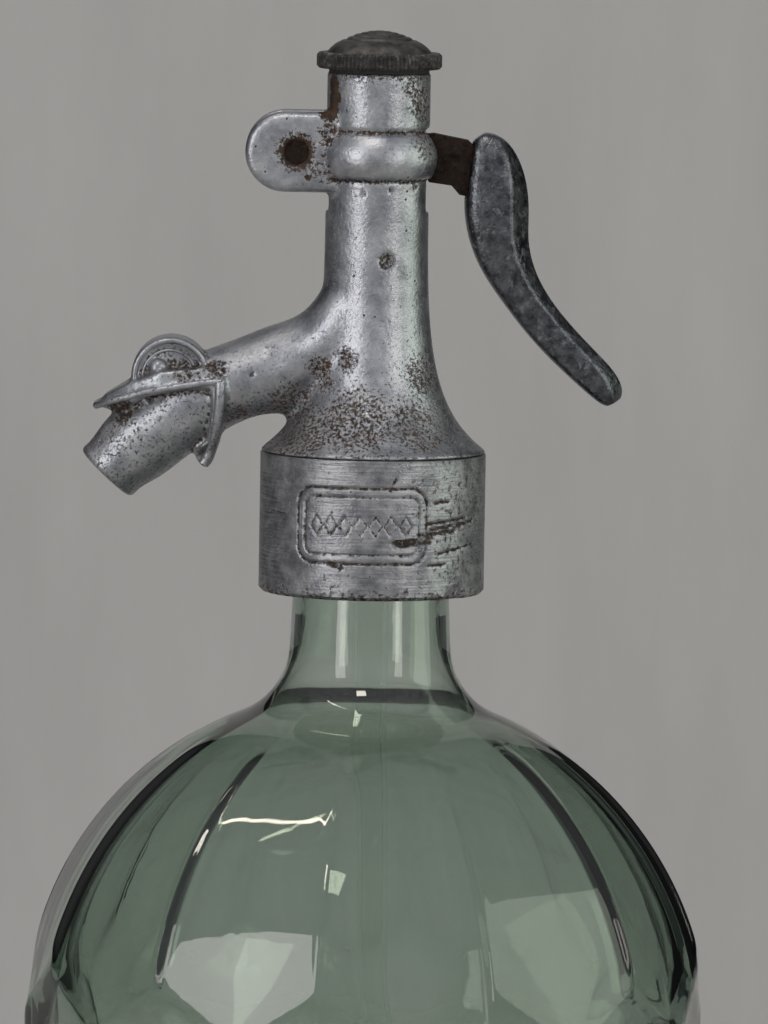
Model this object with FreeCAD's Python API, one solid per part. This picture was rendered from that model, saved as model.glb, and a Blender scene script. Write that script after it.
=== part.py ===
import FreeCAD, Part
import math
import os

# Soda siphon: thick fluted glass bottle, cast metal head with a bird-head spout,
# side lever and spring-closed plunger valve. Millimetres, +Z up.
# Origin: centre of the bottle's foot. The spout points to -X and the lever to +X.

V = FreeCAD.Vector
Z_AXIS = V(0, 0, 1)
Y_AXIS = V(0, 1, 0)

# ---- bottle ---------------------------------------------------------------
body_radius = 58.7          # over the ridges
bottle_height = 226.0       # foot to mouth plane
spring_line_drop = 86.5     # the round shoulder starts this far under the mouth
neck_radius = 13.0          # at the collar
neck_taper = 2.5            # degrees, the neck widens downwards
neck_blend = 13.0           # radius between neck and shoulder
lip_radius = 15.6
lip_height = 5.4            # straight height of the mouth bead
lip_bevel = 2.6             # conical underside that the split ring pulls on
mouth_radius = 8.2          # bore of neck and mouth
glass_wall = 4.6
floor_thickness = 8.0
heel_radius = 9.0
foot_radius = 46.0
foot_width = 6.0
punt_depth = 4.5
punt_slope = 12.0           # width of the steep ring around the punt's flatter middle
punt_rise = 3.6             # height at the top of that ring
inner_heel_radius = 7.2     # between floor and wall inside

# ---- cut pattern on the glass ---------------------------------------------
flute_count = 12
ridge_azimuth = -98.0       # degrees, one ridge stands just left of the front
flute_fade_rise = 48.5      # the flutes run out this far above the spring line
flute_foot_rise = 4.5       # below this the flutes curve out of the glass
facet_depth = 2.7           # a facet's middle lies this far inside body_radius
facet_sweep = 80.0          # radius that each facet is hollowed to, up and down
facet_pitch = 27.0          # height of one row of facets
facet_rows = 4
first_facet_drop = 10.0     # middle of the top row under the spring line

# ---- collar, split ring and mouth seal ------------------------------------
collar_height = 23.6
collar_drop = 11.0          # the collar's lower face lies this far under the mouth
collar_lip = 1.8            # inward lip that carries the split ring
collar_wall = 1.8
collar_bevel = 0.6
split_ring_wall = 1.5       # outside the mouth bead
lip_gap = 0.4               # glass neck to collar lip
thread_gap = 0.1            # between screwed pieces
seat_gap = 0.05             # between pieces that seat on each other
gasket_thickness = 2.0
gasket_inset = 0.2          # the mouth seal stands this far inside the glass face
split_saw = 1.2             # gap between the halves of the split ring

# ---- head casting ----------------------------------------------------------
column_radius = 8.75
column_rise = 64.4          # collar top to column top
flange_height = 0.5
flare_height = 38.0         # collar top to where the hollow sweep has become the column
flare_waist = 15.6          # the sweep's pull towards the column starts this far above the collar
flare_spread = 10.7         # radius and height that draw the foot of the sweep outwards
flare_spread_rise = 6.7
flange_step = 0.15          # the flange stands this far inside the collar
band_radius = 10.5
band_height = 8.5
band_drop = 0.85            # band centre under the lever pivot
pivot_offset = 13.7         # pivot to plunger axis
pivot_drop = 13.5           # pivot under the column top
ear_radius = 6.8
ear_reach = 1.9             # end centre of the ears beyond the pivot
ear_face = 5.7              # half width over both ears
ear_bevel = 0.8

# ---- lever ------------------------------------------------------------------
lever_thickness = 4.2
side_gap = 0.3              # lever to ears and slots, each side
lever_eye_radius = 5.2
lever_web = 2.4             # half height of the bar inside the column
lever_shoulder = 3.2        # half height between the eye and the column's bore
shoulder_room = 1.0         # that part stops this far short of the bore
lobe_radius = 3.9           # rounded lobe that works the plunger
lobe_gap = 0.05
pin_radius = 2.0
pin_gap = 0.08              # running fit of the lever on its pin
pin_recess = 0.5
pin_press = 0.02            # the pin is held in the ears
lever_swing = 11.0          # degrees
slot_top_gap = 0.2
slot_low_room = 1.2         # under the lever at full swing

# ---- plunger, valve and packing ----------------------------------------------
bore_radius = 6.3           # of the column
plunger_gap = 0.1
plunger_head_height = 22.0
plunger_head_drop = 4.0     # plunger head under the column top
stem_radius = 2.4
stem_gap = 0.1
stem_room = 0.3             # round the stem where the casting is only bored through
spring_space = 7.3
spring_wire = 1.0
spring_mean_radius = 4.3
spring_turns = 4
washer_thickness = 0.7
washer_gap = 0.4            # washer to bore
washer_hole_gap = 0.2
gland_height = 4.0
packing_height = 3.5
packing_floor = 2.5
chamber_radius = 4.9
chamber_height = 14.0
valve_seat_height = 3.6
valve_seat_radius = 6.6
valve_hole_radius = 3.7
seat_lip_height = 0.45
seat_lip_width = 0.8
seat_gasket_height = 0.6
rubber_radius = 5.2
rubber_height = 2.5
disc_radius = 5.4
disc_height = 2.2
nut_flats = 6.6
nut_height = 3.0

# ---- dip tube -----------------------------------------------------------------
tube_radius = 3.0
tube_wall = 0.9
tube_floor_gap = 7.0
tube_slant = 30.0           # degrees, the cut foot of the tube
tube_end_gap = 0.2
sleeve_inset = 0.5          # the sleeve stops this far inside the socket
holder_radius = 7.5
holder_chamber_radius = 5.9
holder_chamber_height = 3.7
holder_web = 3.0
holder_socket_radius = 5.6
holder_socket_height = 8.0
holder_thread_height = 4.1
holder_shrink = 0.3         # the plain part of the holder is this much slimmer
holder_hole_radius = 2.4

# ---- cap ----------------------------------------------------------------------
cap_radius = 10.6
cap_rim_height = 2.7
cap_rim_bevel = 0.45
cap_flare_radius = 8.9      # foot of the hollow flare under the dome
cap_dome_radius = 5.7
cap_dome_height = 1.4
cap_dome_rise = 3.7         # dome top above the rim
cap_flare_sag = 0.25
cap_plug_height = 2.6
cap_gasket_height = 0.6
cap_gasket_inset = 0.25
ring_count = 3              # turned rings on the dome
ring_depth = 0.35

# ---- spout ---------------------------------------------------------------------
passage_radius = 3.0
nozzle_bore_radius = 3.5
nozzle_bore_depth = 12.0
nozzle_end_x = -45.3
nozzle_end_rise = -4.4      # nozzle end above the collar top
nozzle_end_radius = 6.1
nozzle_tilt = 47.0          # degrees below the horizontal at the end
nozzle_edge = 0.7           # rounding outside the mouth
arm_fillet = 1.2            # casting radius where the arm leaves the column
# centre x, rise above collar top, half height, half width, tilt in degrees
arm_sections = [
    (0.0, 21.6, 12.5, 8.6, 0.0),
    (-4.0, 21.1, 11.5, 8.2, 0.0),
    (-8.5, 19.2, 9.4, 7.8, 0.0),
    (-12.0, 16.2, 7.3, 7.4, 4.0),
    (-16.0, 13.95, 7.5, 7.2, 14.0),
    (-20.5, 12.6, 6.9, 7.1, 21.0),
    (-26.0, 10.6, 6.8, 6.9, 28.0),
    (-31.5, 7.3, 6.8, 6.9, 34.0),
    (-37.0, 3.1, 6.8, 6.8, 40.0),
    (-41.5, -0.7, 6.45, 6.45, 44.0),
]
bead_radius = 0.55
head_disc_x = -34.4
head_disc_rise = 12.6
head_disc_radius = 6.7
disc_rim = 1.0
disc_hollow = 0.6
head_disc_half = 4.9
eye_x = -36.5
eye_rise = 14.0
eye_radius = 1.75
beak_tip_x = -47.0
beak_length = 11.0          # tip to full width
beak_half_width = 7.4
beak_swell = (0.4, 0.62)    # shares of length and half width that its plan curve passes through
head_back_x = -24.5
# side outlines, x and rise above the collar top
beak_outline = [(beak_tip_x, 7.4), (-45.4, 9.3), (-41.5, 11.5), (-36.0, 13.6), (-28.6, 14.4),
                (-25.6, 12.6), (-25.6, 11.0), (-32.3, 10.6), (-38.2, 9.4), (-43.2, 6.3), (-46.0, 6.9)]
beak_bead_outline = [(beak_tip_x, 7.7), (-38.2, 10.6), (-32.3, 11.8), (-25.6, 12.6), (-25.6, 11.4),
                     (-32.3, 10.6), (-38.2, 9.4), (-46.0, 6.9)]
cheek_outline = [(-25.2, 12.8), (-27.2, 11.6), (-27.3, 6.4), (-28.0, 2.0), (-30.3, -0.2), (-29.9, -1.6),
                 (-29.1, -2.6), (-28.3, -3.0), (-27.5, -2.5), (-26.9, -1.3), (-25.8, 2.0), (-25.2, 5.4),
                 (-25.0, 9.4)]
cheek_rise = 9.4            # where the cheek bead's own axis crosses the arm
cheek_x = -27.0
cheek_tilt = 30.0
chin_half_width = 2.6
chin_reach = 4.0            # above and below the collar top

# ---- grip -----------------------------------------------------------------------
# centre x, rise above collar top, half thickness, half width
grip_sections = [
    (17.1, 53.8, 1.2, 2.0),
    (18.8, 51.3, 3.6, 4.8),
    (19.9, 46.2, 5.1, 6.3),
    (20.3, 40.2, 5.4, 6.6),
    (21.3, 34.6, 4.7, 6.2),
    (24.3, 28.2, 3.7, 5.5),
    (29.7, 21.0, 3.3, 4.9),
    (35.9, 14.8, 3.1, 4.5),
    (39.5, 11.1, 2.6, 3.7),
    (40.7, 9.1, 1.3, 1.9),
]
tang_length = 5.5
bar_lap = 0.8               # the bar runs this far back into the web
# the bar between column and grip, x and rise above the collar top, anticlockwise
bar_outline = [(8.7, 46.0), (12.5, 45.5), (13.8, 44.0), (15.5, 43.6), (15.5 + tang_length, 43.4),
               (15.5 + tang_length, 48.0), (16.4, 52.0), (15.2, 53.1), (9.4, 54.2), (7.9, 54.0)]

# ---- places worked out from the sizes above -------------------------------------
spring_line_z = bottle_height - spring_line_drop
flute_fade_z = spring_line_z + flute_fade_rise
flute_foot_z = spring_line_z + flute_foot_rise
collar_z = bottle_height - collar_drop
collar_top = collar_z + collar_height
casting_foot = bottle_height + gasket_thickness
column_top = collar_top + column_rise
pivot_z = column_top - pivot_drop
skirt_radius = lip_radius + split_ring_wall + thread_gap
collar_radius = skirt_radius + thread_gap + collar_wall
flange_radius = collar_radius - flange_step
cavity_radius = holder_radius + thread_gap
slot_half = lever_thickness / 2 + side_gap
plunger_head_top = column_top - plunger_head_drop
plunger_head_foot = plunger_head_top - plunger_head_height
washer_foot = plunger_head_foot - washer_thickness
gland_top = washer_foot - spring_space
gland_foot = gland_top - gland_height
packing_foot = gland_foot - packing_height
chamber_top = packing_foot - packing_floor
chamber_foot = chamber_top - chamber_height
seat_foot = chamber_foot - valve_seat_height
rubber_top = seat_foot - seat_lip_height - seat_gap
rubber_foot = rubber_top - rubber_height
disc_foot = rubber_foot - disc_height
stem_foot = disc_foot - nut_height
holder_top = casting_foot + holder_thread_height
holder_web_top = holder_top - holder_chamber_height
holder_web_foot = holder_web_top - holder_web
holder_foot = holder_web_foot - holder_socket_height
tube_top = holder_web_foot - tube_end_gap


# ---- small helpers ----------------------------------------------------------------
def cyl(radius, z0, z1):
    return Part.makeCylinder(radius, z1 - z0, V(0, 0, z0))


def ring(outer, inner, z0, z1):
    return cyl(outer, z0, z1).cut(cyl(inner, z0 - 1, z1 + 1))


def cross_cyl(radius, x, z, half):
    """Cylinder along Y, centred on the XZ plane."""
    return Part.makeCylinder(radius, 2 * half, V(x, -half, z), Y_AXIS)


def slab(x0, x1, half_y, z0, z1):
    return Part.makeBox(x1 - x0, 2 * half_y, z1 - z0, V(x0, -half_y, z0))


def polygon_xz(points):
    loop = [V(x, 0, z) for x, z in points]
    return Part.Face(Part.makePolygon(loop + loop[:1]))


def spin(edges_or_points):
    """Turn a closed XZ outline about the Z axis."""
    if isinstance(edges_or_points[0], tuple):
        face = polygon_xz(edges_or_points)
    else:
        face = Part.Face(Part.Wire(edges_or_points))
    return face.revolve(V(0, 0, 0), Z_AXIS, 360)


def prism_xz(points, half_y):
    face = polygon_xz(points)
    face.translate(V(0, -half_y, 0))
    return face.extrude(V(0, 2 * half_y, 0))


def line(p, q):
    return Part.LineSegment(V(p[0], 0, p[1]), V(q[0], 0, q[1])).toShape()


def arc(p, mid, q):
    return Part.Arc(V(p[0], 0, p[1]), V(mid[0], 0, mid[1]), V(q[0], 0, q[1])).toShape()


def round_x(radius, centre_z, z):
    """Radius of a sphere centred on the axis, at height z."""
    return math.sqrt(radius ** 2 - (z - centre_z) ** 2)


def oval(x, z, half_height, half_width, tilt):
    """Closed elliptical section, tilted about Y, facing along the arm."""
    t = math.radians(tilt)
    up = V(-math.sin(t), 0, math.cos(t))
    c = V(x, 0, z)
    top = c + up * half_height
    side = c + Y_AXIS * half_width
    if abs(half_height - half_width) < 1e-6:
        normal = V(math.cos(t), 0, math.sin(t))
        edge = Part.makeCircle(half_height, c, normal)
    elif half_height > half_width:
        edge = Part.Ellipse(top, side, c).toShape()
    else:
        edge = Part.Ellipse(side, top, c).toShape()
    return Part.Wire([edge])


def export(shape, name):
    shape.exportStep("parts/" + name + ".step")
    print(name, "volume", round(shape.Volume, 1), "solids", len(shape.Solids), "valid", shape.isValid())


os.makedirs("parts", exist_ok=True)


# ---- bottle --------------------------------------------------------------------------
def bottle_outline(radius, top_z, top_radius, blend, foot_edges):
    """Closed half outline: foot, straight body, round shoulder, neck blend and tapered neck."""
    taper = math.radians(neck_taper)
    along = V(math.sin(taper), 0, -math.cos(taper))
    outward = V(math.cos(taper), 0, math.sin(taper))
    neck_top = V(top_radius, 0, top_z)
    shoulder_centre = V(0, 0, spring_line_z)
    # the blend's centre is one blend radius off the neck line and off the shoulder
    base = neck_top + outward * blend - shoulder_centre
    b = base.dot(along)
    c = base.dot(base) - (radius + blend) ** 2
    centre = neck_top + outward * blend + along * (-b - math.sqrt(b * b - c))
    on_neck = centre - outward * blend
    to_shoulder = shoulder_centre - centre
    on_shoulder = centre + to_shoulder * (blend / to_shoulder.Length)
    middle_way = (on_neck + on_shoulder) * 0.5 - centre
    on_blend = centre + middle_way * (blend / middle_way.Length)
    half_up = spring_line_z + (on_shoulder.z - spring_line_z) / 2
    return foot_edges + [
        arc((radius, spring_line_z), (round_x(radius, spring_line_z, half_up), half_up),
            (on_shoulder.x, on_shoulder.z)),
        arc((on_shoulder.x, on_shoulder.z), (on_blend.x, on_blend.z), (on_neck.x, on_neck.z)),
        line((on_neck.x, on_neck.z), (top_radius, top_z)),
        line((top_radius, top_z), (0, top_z)),
        line((0, top_z), (0, foot_edges[0].Vertexes[0].Point.z)),
    ]


def neck_at(z):
    """Outer radius of the tapered neck."""
    return neck_radius + (bottle_height - lip_height - z) * math.tan(math.radians(neck_taper))


def bottle_outside():
    heel = (body_radius - heel_radius, 0)
    k = heel_radius * (1 - math.sqrt(0.5))
    foot_edges = [
        line((0, 0), heel),
        arc(heel, (body_radius - k, k), (body_radius, heel_radius)),
        line((body_radius, heel_radius), (body_radius, spring_line_z)),
    ]
    neck_top = bottle_height - lip_height
    return spin(bottle_outline(body_radius, neck_top, neck_radius, neck_blend, foot_edges))


def bottle_inside():
    radius = body_radius - glass_wall
    floor = floor_thickness
    corner = inner_heel_radius
    k = corner * (1 - math.sqrt(0.5))
    foot_edges = [
        line((0, floor), (radius - corner, floor)),
        arc((radius - corner, floor), (radius - k, floor + k), (radius, floor + corner)),
        line((radius, floor + corner), (radius, spring_line_z)),
    ]
    blend = neck_blend + glass_wall
    return spin(bottle_outline(radius, bottle_height + 1, mouth_radius, blend, foot_edges))


def flute_limit():
    """Flat flutes that run out under the neck and curve out of the glass at their feet."""
    a = body_radius * math.cos(math.pi / flute_count)
    rise = flute_fade_z - spring_line_z
    fade_x = round_x(body_radius, spring_line_z, flute_fade_z)
    # meridian circle through the flute's waist that meets the round shoulder at the fade height
    centre_x = (fade_x ** 2 + rise ** 2 - a ** 2) / (2 * (fade_x - a))
    radius = a - centre_x

    def meridian(z):
        return (centre_x + round_x(radius, spring_line_z, z), z)
    top_z = flute_fade_z + 2
    start = meridian(flute_foot_z)
    lean = math.asin((flute_foot_z - spring_line_z) / radius)
    sweep_x = start[0] + facet_sweep * math.cos(lean)
    sweep_z = start[1] + facet_sweep * math.sin(lean)

    def on_sweep(angle):
        t = math.pi + lean + math.radians(angle)
        return (sweep_x + facet_sweep * math.cos(t), sweep_z + facet_sweep * math.sin(t))
    end = on_sweep(30)
    far = body_radius + 20
    low = -10
    high = bottle_height + 10
    half = Part.Face(Part.Wire([
        line((0, low), (far, low)),
        line((far, low), (far, end[1])),
        line((far, end[1]), end),
        arc(end, on_sweep(15), start),
        arc(start, meridian((flute_foot_z + top_z) / 2), meridian(top_z)),
        line(meridian(top_z), (far, top_z)),
        line((far, top_z), (far, high)),
        line((far, high), (0, high)),
        line((0, high), (0, low)),
    ]))
    half.translate(V(0, -far, 0))
    plate = half.extrude(V(0, 2 * far, 0))
    return plate.fuse(plate.mirror(V(0, 0, 0), V(1, 0, 0))).removeSplitter()


def facet_cutters():
    """Rows of hollowed facets, each row set half a step round from the next."""
    step = 360.0 / flute_count
    cutters = []
    for row in range(facet_rows):
        z = spring_line_z - first_facet_drop - row * facet_pitch
        offset = ridge_azimuth + (row % 2) * step / 2
        axis_x = body_radius - facet_depth + facet_sweep
        tool = Part.makeCylinder(facet_sweep, 60, V(axis_x, -30, z), Y_AXIS)
        for n in range(flute_count):
            one = tool.copy()
            one.rotate(V(0, 0, 0), Z_AXIS, offset + n * step)
            cutters.append(one)
    return cutters


def make_bottle():
    body = bottle_outside()
    plate = flute_limit()
    step = 360.0 / flute_count
    for n in range(flute_count // 2):
        one = plate.copy()
        one.rotate(V(0, 0, 0), Z_AXIS, ridge_azimuth + (n + 0.5) * step)
        body = body.common(one)
    body = body.cut(facet_cutters())
    lip_foot = bottle_height - lip_height
    lip = spin([(0, lip_foot - lip_bevel), (neck_radius, lip_foot - lip_bevel),
                (lip_radius, lip_foot), (lip_radius, bottle_height), (0, bottle_height)])
    body = body.fuse(lip)
    body = body.cut(bottle_inside())
    punt_radius = foot_radius - foot_width / 2
    punt = spin([(0, -1), (punt_radius, -1), (punt_radius, 0), (punt_radius - punt_slope, punt_rise),
                 (0, punt_depth)])
    return body.cut(punt)


export(make_bottle(), "bottle")


# ---- collar, split ring, mouth seal ----------------------------------------------------
def make_collar_ring():
    bore = skirt_radius + thread_gap
    hole = neck_at(collar_z) + lip_gap
    bevel = collar_bevel
    return spin([
        (hole, collar_z), (collar_radius - bevel, collar_z), (collar_radius, collar_z + bevel),
        (collar_radius, collar_top - bevel / 2), (collar_radius - bevel / 2, collar_top),
        (bore, collar_top), (bore, collar_z + collar_lip), (hole, collar_z + collar_lip),
    ])


def make_split_ring():
    outer = skirt_radius - thread_gap
    foot = collar_z + collar_lip + seat_gap
    inner = neck_at(foot) + seat_gap
    cone_top = bottle_height - lip_height
    slope = lip_bevel / (lip_radius - neck_radius)
    cone_foot = cone_top - (lip_radius - inner) * slope
    whole = spin([(inner, foot), (outer, foot), (outer, cone_top - seat_gap),
                  (lip_radius, cone_top - seat_gap), (inner, cone_foot - seat_gap)])
    return whole.cut(slab(-collar_radius, collar_radius, split_saw / 2, foot - 1, cone_top + 1))


def make_neck_gasket():
    return ring(lip_radius - gasket_inset, mouth_radius + gasket_inset, bottle_height, casting_foot)


export(make_collar_ring(), "collar_ring")
export(make_split_ring(), "split_ring")
export(make_neck_gasket(), "neck_gasket")


# ---- head casting --------------------------------------------------------------------------
def flare_profile():
    """Column, hollow flare and flange, as one half outline."""
    foot = collar_top + flange_height
    sweep_top = collar_top + flare_height
    sweep = Part.BezierCurve()
    sweep.setPoles([V(flange_radius, 0, foot), V(flare_spread, 0, collar_top + flare_spread_rise),
                    V(column_radius, 0, collar_top + flare_waist), V(column_radius, 0, sweep_top)])
    return [
        line((0, casting_foot), (skirt_radius, casting_foot)),
        line((skirt_radius, casting_foot), (skirt_radius, collar_top)),
        line((skirt_radius, collar_top), (flange_radius, collar_top)),
        line((flange_radius, collar_top), (flange_radius, foot)),
        sweep.toShape(),
        line((column_radius, sweep_top), (column_radius, column_top)),
        line((column_radius, column_top), (0, column_top)),
        line((0, column_top), (0, casting_foot)),
    ]


def band():
    centre = pivot_z - band_drop
    low = centre - band_height / 2
    high = centre + band_height / 2
    inside = column_radius - 1
    edges = [
        line((inside, low), (column_radius, low)),
        arc((column_radius, low), (band_radius, centre), (column_radius, high)),
        line((column_radius, high), (inside, high)),
        line((inside, high), (inside, low)),
    ]
    return spin(edges)


def ears():
    end_x = -pivot_offset - ear_reach
    rounded = cross_cyl(ear_radius, end_x, pivot_z, ear_face)
    plate = slab(end_x, 0, ear_face, pivot_z - ear_radius, pivot_z + ear_radius)
    both = rounded.fuse(plate).removeSplitter()
    rim = [e for e in both.Edges if is_ear_rim(e, end_x)]
    return both.makeChamfer(ear_bevel, rim)


def is_ear_rim(edge, end_x):
    c = edge.CenterOfMass
    on_face = abs(abs(c.y) - ear_face) < 0.01
    return on_face and c.x < -0.5


def spout_arm():
    sections = [oval(x, collar_top + rise, hh, hw, tilt) for x, rise, hh, hw, tilt in arm_sections]
    sections.append(oval(nozzle_end_x, collar_top + nozzle_end_rise, nozzle_end_radius,
                         nozzle_end_radius, nozzle_tilt))
    arm = Part.makeLoft(sections, True, False)
    mouth = max(arm.Edges, key=lambda e: -e.CenterOfMass.x)
    return arm.makeFillet(nozzle_edge, [mouth])


def column_and_arm():
    """The turned column and flare with the spout arm, joined by a casting fillet."""
    joined = spin(flare_profile()).fuse(spout_arm())
    root = [e for e in joined.Edges if is_arm_root(e)]
    return joined.makeFillet(arm_fillet, root)


def is_arm_root(edge):
    """An edge where the arm leaves the column and its flare."""
    box = edge.BoundBox
    over_flange = box.ZMin > collar_top + flange_height + 1
    return over_flange and -flange_radius < box.XMin and box.XMax < -0.01 and box.ZMax < column_top - 1


def nozzle_axis():
    t = math.radians(nozzle_tilt)
    mouth = V(nozzle_end_x, 0, collar_top + nozzle_end_rise)
    return mouth, V(-math.cos(t), 0, -math.sin(t))


def water_passage():
    """Bore of the nozzle, then a cored passage up the arm to the valve chamber."""
    mouth, out = nozzle_axis()
    bore = Part.makeCylinder(nozzle_bore_radius, nozzle_bore_depth + 1, mouth + out, out * -1)
    bend = mouth - out * (nozzle_bore_depth + 5)
    chamber = V(0, 0, chamber_foot + chamber_height / 2)
    straight = Part.makeCylinder(passage_radius, (bend - mouth).Length, bend, out)
    inner = Part.makeCylinder(passage_radius, (chamber - bend).Length, bend, chamber - bend)
    ball = Part.makeSphere(passage_radius, bend)
    return bore.fuse([straight, inner, ball])


def bird_head():
    """Round eye disc with raised rims, eyes, open beak over the nozzle and a cheek lobe."""
    z0 = collar_top
    disc_z = z0 + head_disc_rise
    disc = cross_cyl(head_disc_radius, head_disc_x, disc_z, head_disc_half)
    pieces = []
    for side in (-1, 1):
        hollow = Part.makeCylinder(head_disc_radius - disc_rim, disc_hollow,
                                   V(head_disc_x, side * (head_disc_half - disc_hollow), disc_z),
                                   Y_AXIS * side)
        disc = disc.cut(hollow)
        eye = V(eye_x, side * (head_disc_half - disc_hollow), z0 + eye_rise)
        pieces.append(Part.makeSphere(eye_radius, eye))
    beak = raised_prism(beak_outline, beak_half_width).common(beak_plan(0))
    edge = raised_prism(beak_bead_outline, beak_half_width + bead_radius).common(beak_plan(bead_radius))
    t = math.radians(cheek_tilt)
    axis = V(-math.cos(t), 0, -math.sin(t))
    reach = beak_half_width
    sleeve = Part.makeCylinder(beak_half_width + bead_radius, 2 * reach,
                               V(cheek_x, 0, z0 + cheek_rise) - axis * reach, axis)
    chin = slab(beak_tip_x, head_back_x, chin_half_width, z0 - chin_reach, z0 + chin_reach)
    cheek = raised_prism(cheek_outline, beak_half_width + 1).common(sleeve.fuse(chin))
    return disc.fuse(pieces + [beak, edge, cheek])


def raised_prism(outline, half_y):
    """Side outline given above the collar top, extruded to both sides."""
    return prism_xz([(x, collar_top + rise) for x, rise in outline], half_y)


def beak_plan(grow):
    """Plan of the beak: a pointed arch that opens to the width of the head."""
    wide = beak_half_width + grow
    tip = beak_tip_x - grow
    full = tip + beak_length
    z0 = collar_top

    def side(sign):
        third = V(tip + beak_swell[0] * beak_length, sign * beak_swell[1] * wide, z0)
        return Part.Arc(V(tip, 0, z0), third, V(full, sign * wide, z0)).toShape()
    face = Part.Face(Part.Wire([
        side(1),
        Part.LineSegment(V(full, wide, z0), V(head_back_x, wide, z0)).toShape(),
        Part.LineSegment(V(head_back_x, wide, z0), V(head_back_x, -wide, z0)).toShape(),
        Part.LineSegment(V(head_back_x, -wide, z0), V(full, -wide, z0)).toShape(),
        side(-1),
    ]))
    return face.extrude(V(0, 0, 2 * head_disc_rise))


def casting_bores():
    """Everything machined or cored out along the plunger axis."""
    return [
        cyl(bore_radius, packing_foot, column_top + 1),
        cyl(stem_radius + stem_room, chamber_top - 1, packing_foot + 1),
        cyl(chamber_radius, chamber_foot, chamber_top),
        cyl(valve_seat_radius + thread_gap, seat_foot, chamber_foot),
        cyl(cavity_radius, casting_foot - 1, seat_foot),
    ]


def lever_slot():
    """Slot for the lever, cut right through the column and between the ears."""
    reach = band_radius + 1 - column_radius + pivot_offset + column_radius
    drop = reach * math.sin(math.radians(lever_swing))
    low = pivot_z - lobe_radius - drop - slot_low_room
    high = pivot_z + lobe_radius + slot_top_gap
    through = slab(-column_radius - 1, band_radius + 1, slot_half, low, high)
    between = slab(-pivot_offset - ear_reach - ear_radius - 1, -column_radius, slot_half,
                   pivot_z - ear_radius - 1, pivot_z + ear_radius + 1)
    return [through, between]


def make_head_casting():
    body = column_and_arm()
    body = body.fuse([band(), ears(), bird_head()])
    pin_hole = cross_cyl(pin_radius + pin_press, -pivot_offset, pivot_z, ear_face + 1)
    return body.cut(casting_bores() + lever_slot() + [water_passage(), pin_hole])


export(make_head_casting(), "head_casting")


# ---- cap -------------------------------------------------------------------------------------
def make_cap():
    rim_foot = column_top + cap_gasket_height
    rim_top = rim_foot + cap_rim_height
    plug = bore_radius - thread_gap
    bevel = cap_rim_bevel
    # the dome is a shallow sphere that meets a hollow flare on the rim
    dome_top = rim_top + cap_dome_rise
    sphere = (cap_dome_radius ** 2 + cap_dome_height ** 2) / (2 * cap_dome_height)

    def dome_at(x):
        return (x, dome_top - sphere + math.sqrt(sphere ** 2 - x ** 2))
    dome_foot = dome_at(cap_dome_radius)
    flare_mid = ((cap_dome_radius + cap_flare_radius) / 2 - cap_flare_sag,
                 (dome_foot[1] + rim_top) / 2 - cap_flare_sag)
    plug_foot = rim_foot - cap_plug_height
    cap = spin([
        line((0, plug_foot), (plug, plug_foot)),
        line((plug, plug_foot), (plug, rim_foot)),
        line((plug, rim_foot), (cap_radius - bevel, rim_foot)),
        line((cap_radius - bevel, rim_foot), (cap_radius, rim_foot + bevel)),
        line((cap_radius, rim_foot + bevel), (cap_radius, rim_top - bevel)),
        line((cap_radius, rim_top - bevel), (cap_radius - bevel, rim_top)),
        line((cap_radius - bevel, rim_top), (cap_flare_radius, rim_top)),
        arc((cap_flare_radius, rim_top), flare_mid, dome_foot),
        arc(dome_foot, dome_at(cap_dome_radius / 2), (0, dome_top)),
        line((0, dome_top), (0, plug_foot)),
    ])
    grooves = []
    for n in range(ring_count):
        x, z = dome_at(cap_dome_radius * (n + 1) / (ring_count + 1))
        grooves.append(spin([(x - ring_depth, z + ring_depth), (x, z - ring_depth),
                             (x + ring_depth, z + ring_depth)]))
    return cap.cut(grooves)


def make_cap_gasket():
    return ring(column_radius - cap_gasket_inset, bore_radius + thread_gap, column_top,
                column_top + cap_gasket_height)


export(make_cap(), "cap")
export(make_cap_gasket(), "cap_gasket")


# ---- lever, grip and pin -------------------------------------------------------------------------
def lever_solid():
    half = lever_thickness / 2
    low = pivot_z - lever_web
    high = pivot_z + lever_web
    eye = cross_cyl(lever_eye_radius, -pivot_offset, pivot_z, half)
    stop = -bore_radius - shoulder_room
    shoulder = slab(-pivot_offset, stop, half, pivot_z - lever_shoulder, pivot_z + lever_shoulder)
    web = slab(stop, column_radius, half, low, high)
    lobe = cross_cyl(lobe_radius, 0, pivot_z, half)
    bar = raised_prism(bar_outline, half)
    inside = bar_start(-1)[0] - bar_lap
    root = prism_xz([(inside, low), bar_start(0), bar_start(-1), (inside, high)], half)
    return eye.fuse([shoulder, web, lobe, bar, root]).removeSplitter()


def bar_start(index):
    x, rise = bar_outline[index]
    return (x, collar_top + rise)


def make_lever_bar():
    hole = cross_cyl(pin_radius + pin_gap, -pivot_offset, pivot_z, lever_thickness)
    return lever_solid().cut(hole)


def make_lever_grip():
    wires = []
    count = len(grip_sections)
    for n, (x, rise, thick, wide) in enumerate(grip_sections):
        a = grip_sections[max(n - 1, 0)]
        b = grip_sections[min(n + 1, count - 1)]
        heading = math.degrees(math.atan2(b[0] - a[0], a[1] - b[1]))
        wires.append(grip_oval(x, collar_top + rise, thick, wide, heading))
    grip = Part.makeLoft(wires, True, False)
    return grip.cut(lever_solid())


def grip_oval(x, z, thick, wide, heading):
    """Section across the grip, whose centre line heads down and out."""
    t = math.radians(heading)
    across = V(math.cos(t), 0, math.sin(t))
    c = V(x, 0, z)
    edge = Part.Ellipse(c + Y_AXIS * wide, c + across * thick, c).toShape()
    return Part.Wire([edge])


def make_pivot_pin():
    return cross_cyl(pin_radius, -pivot_offset, pivot_z, ear_face - pin_recess)


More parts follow.
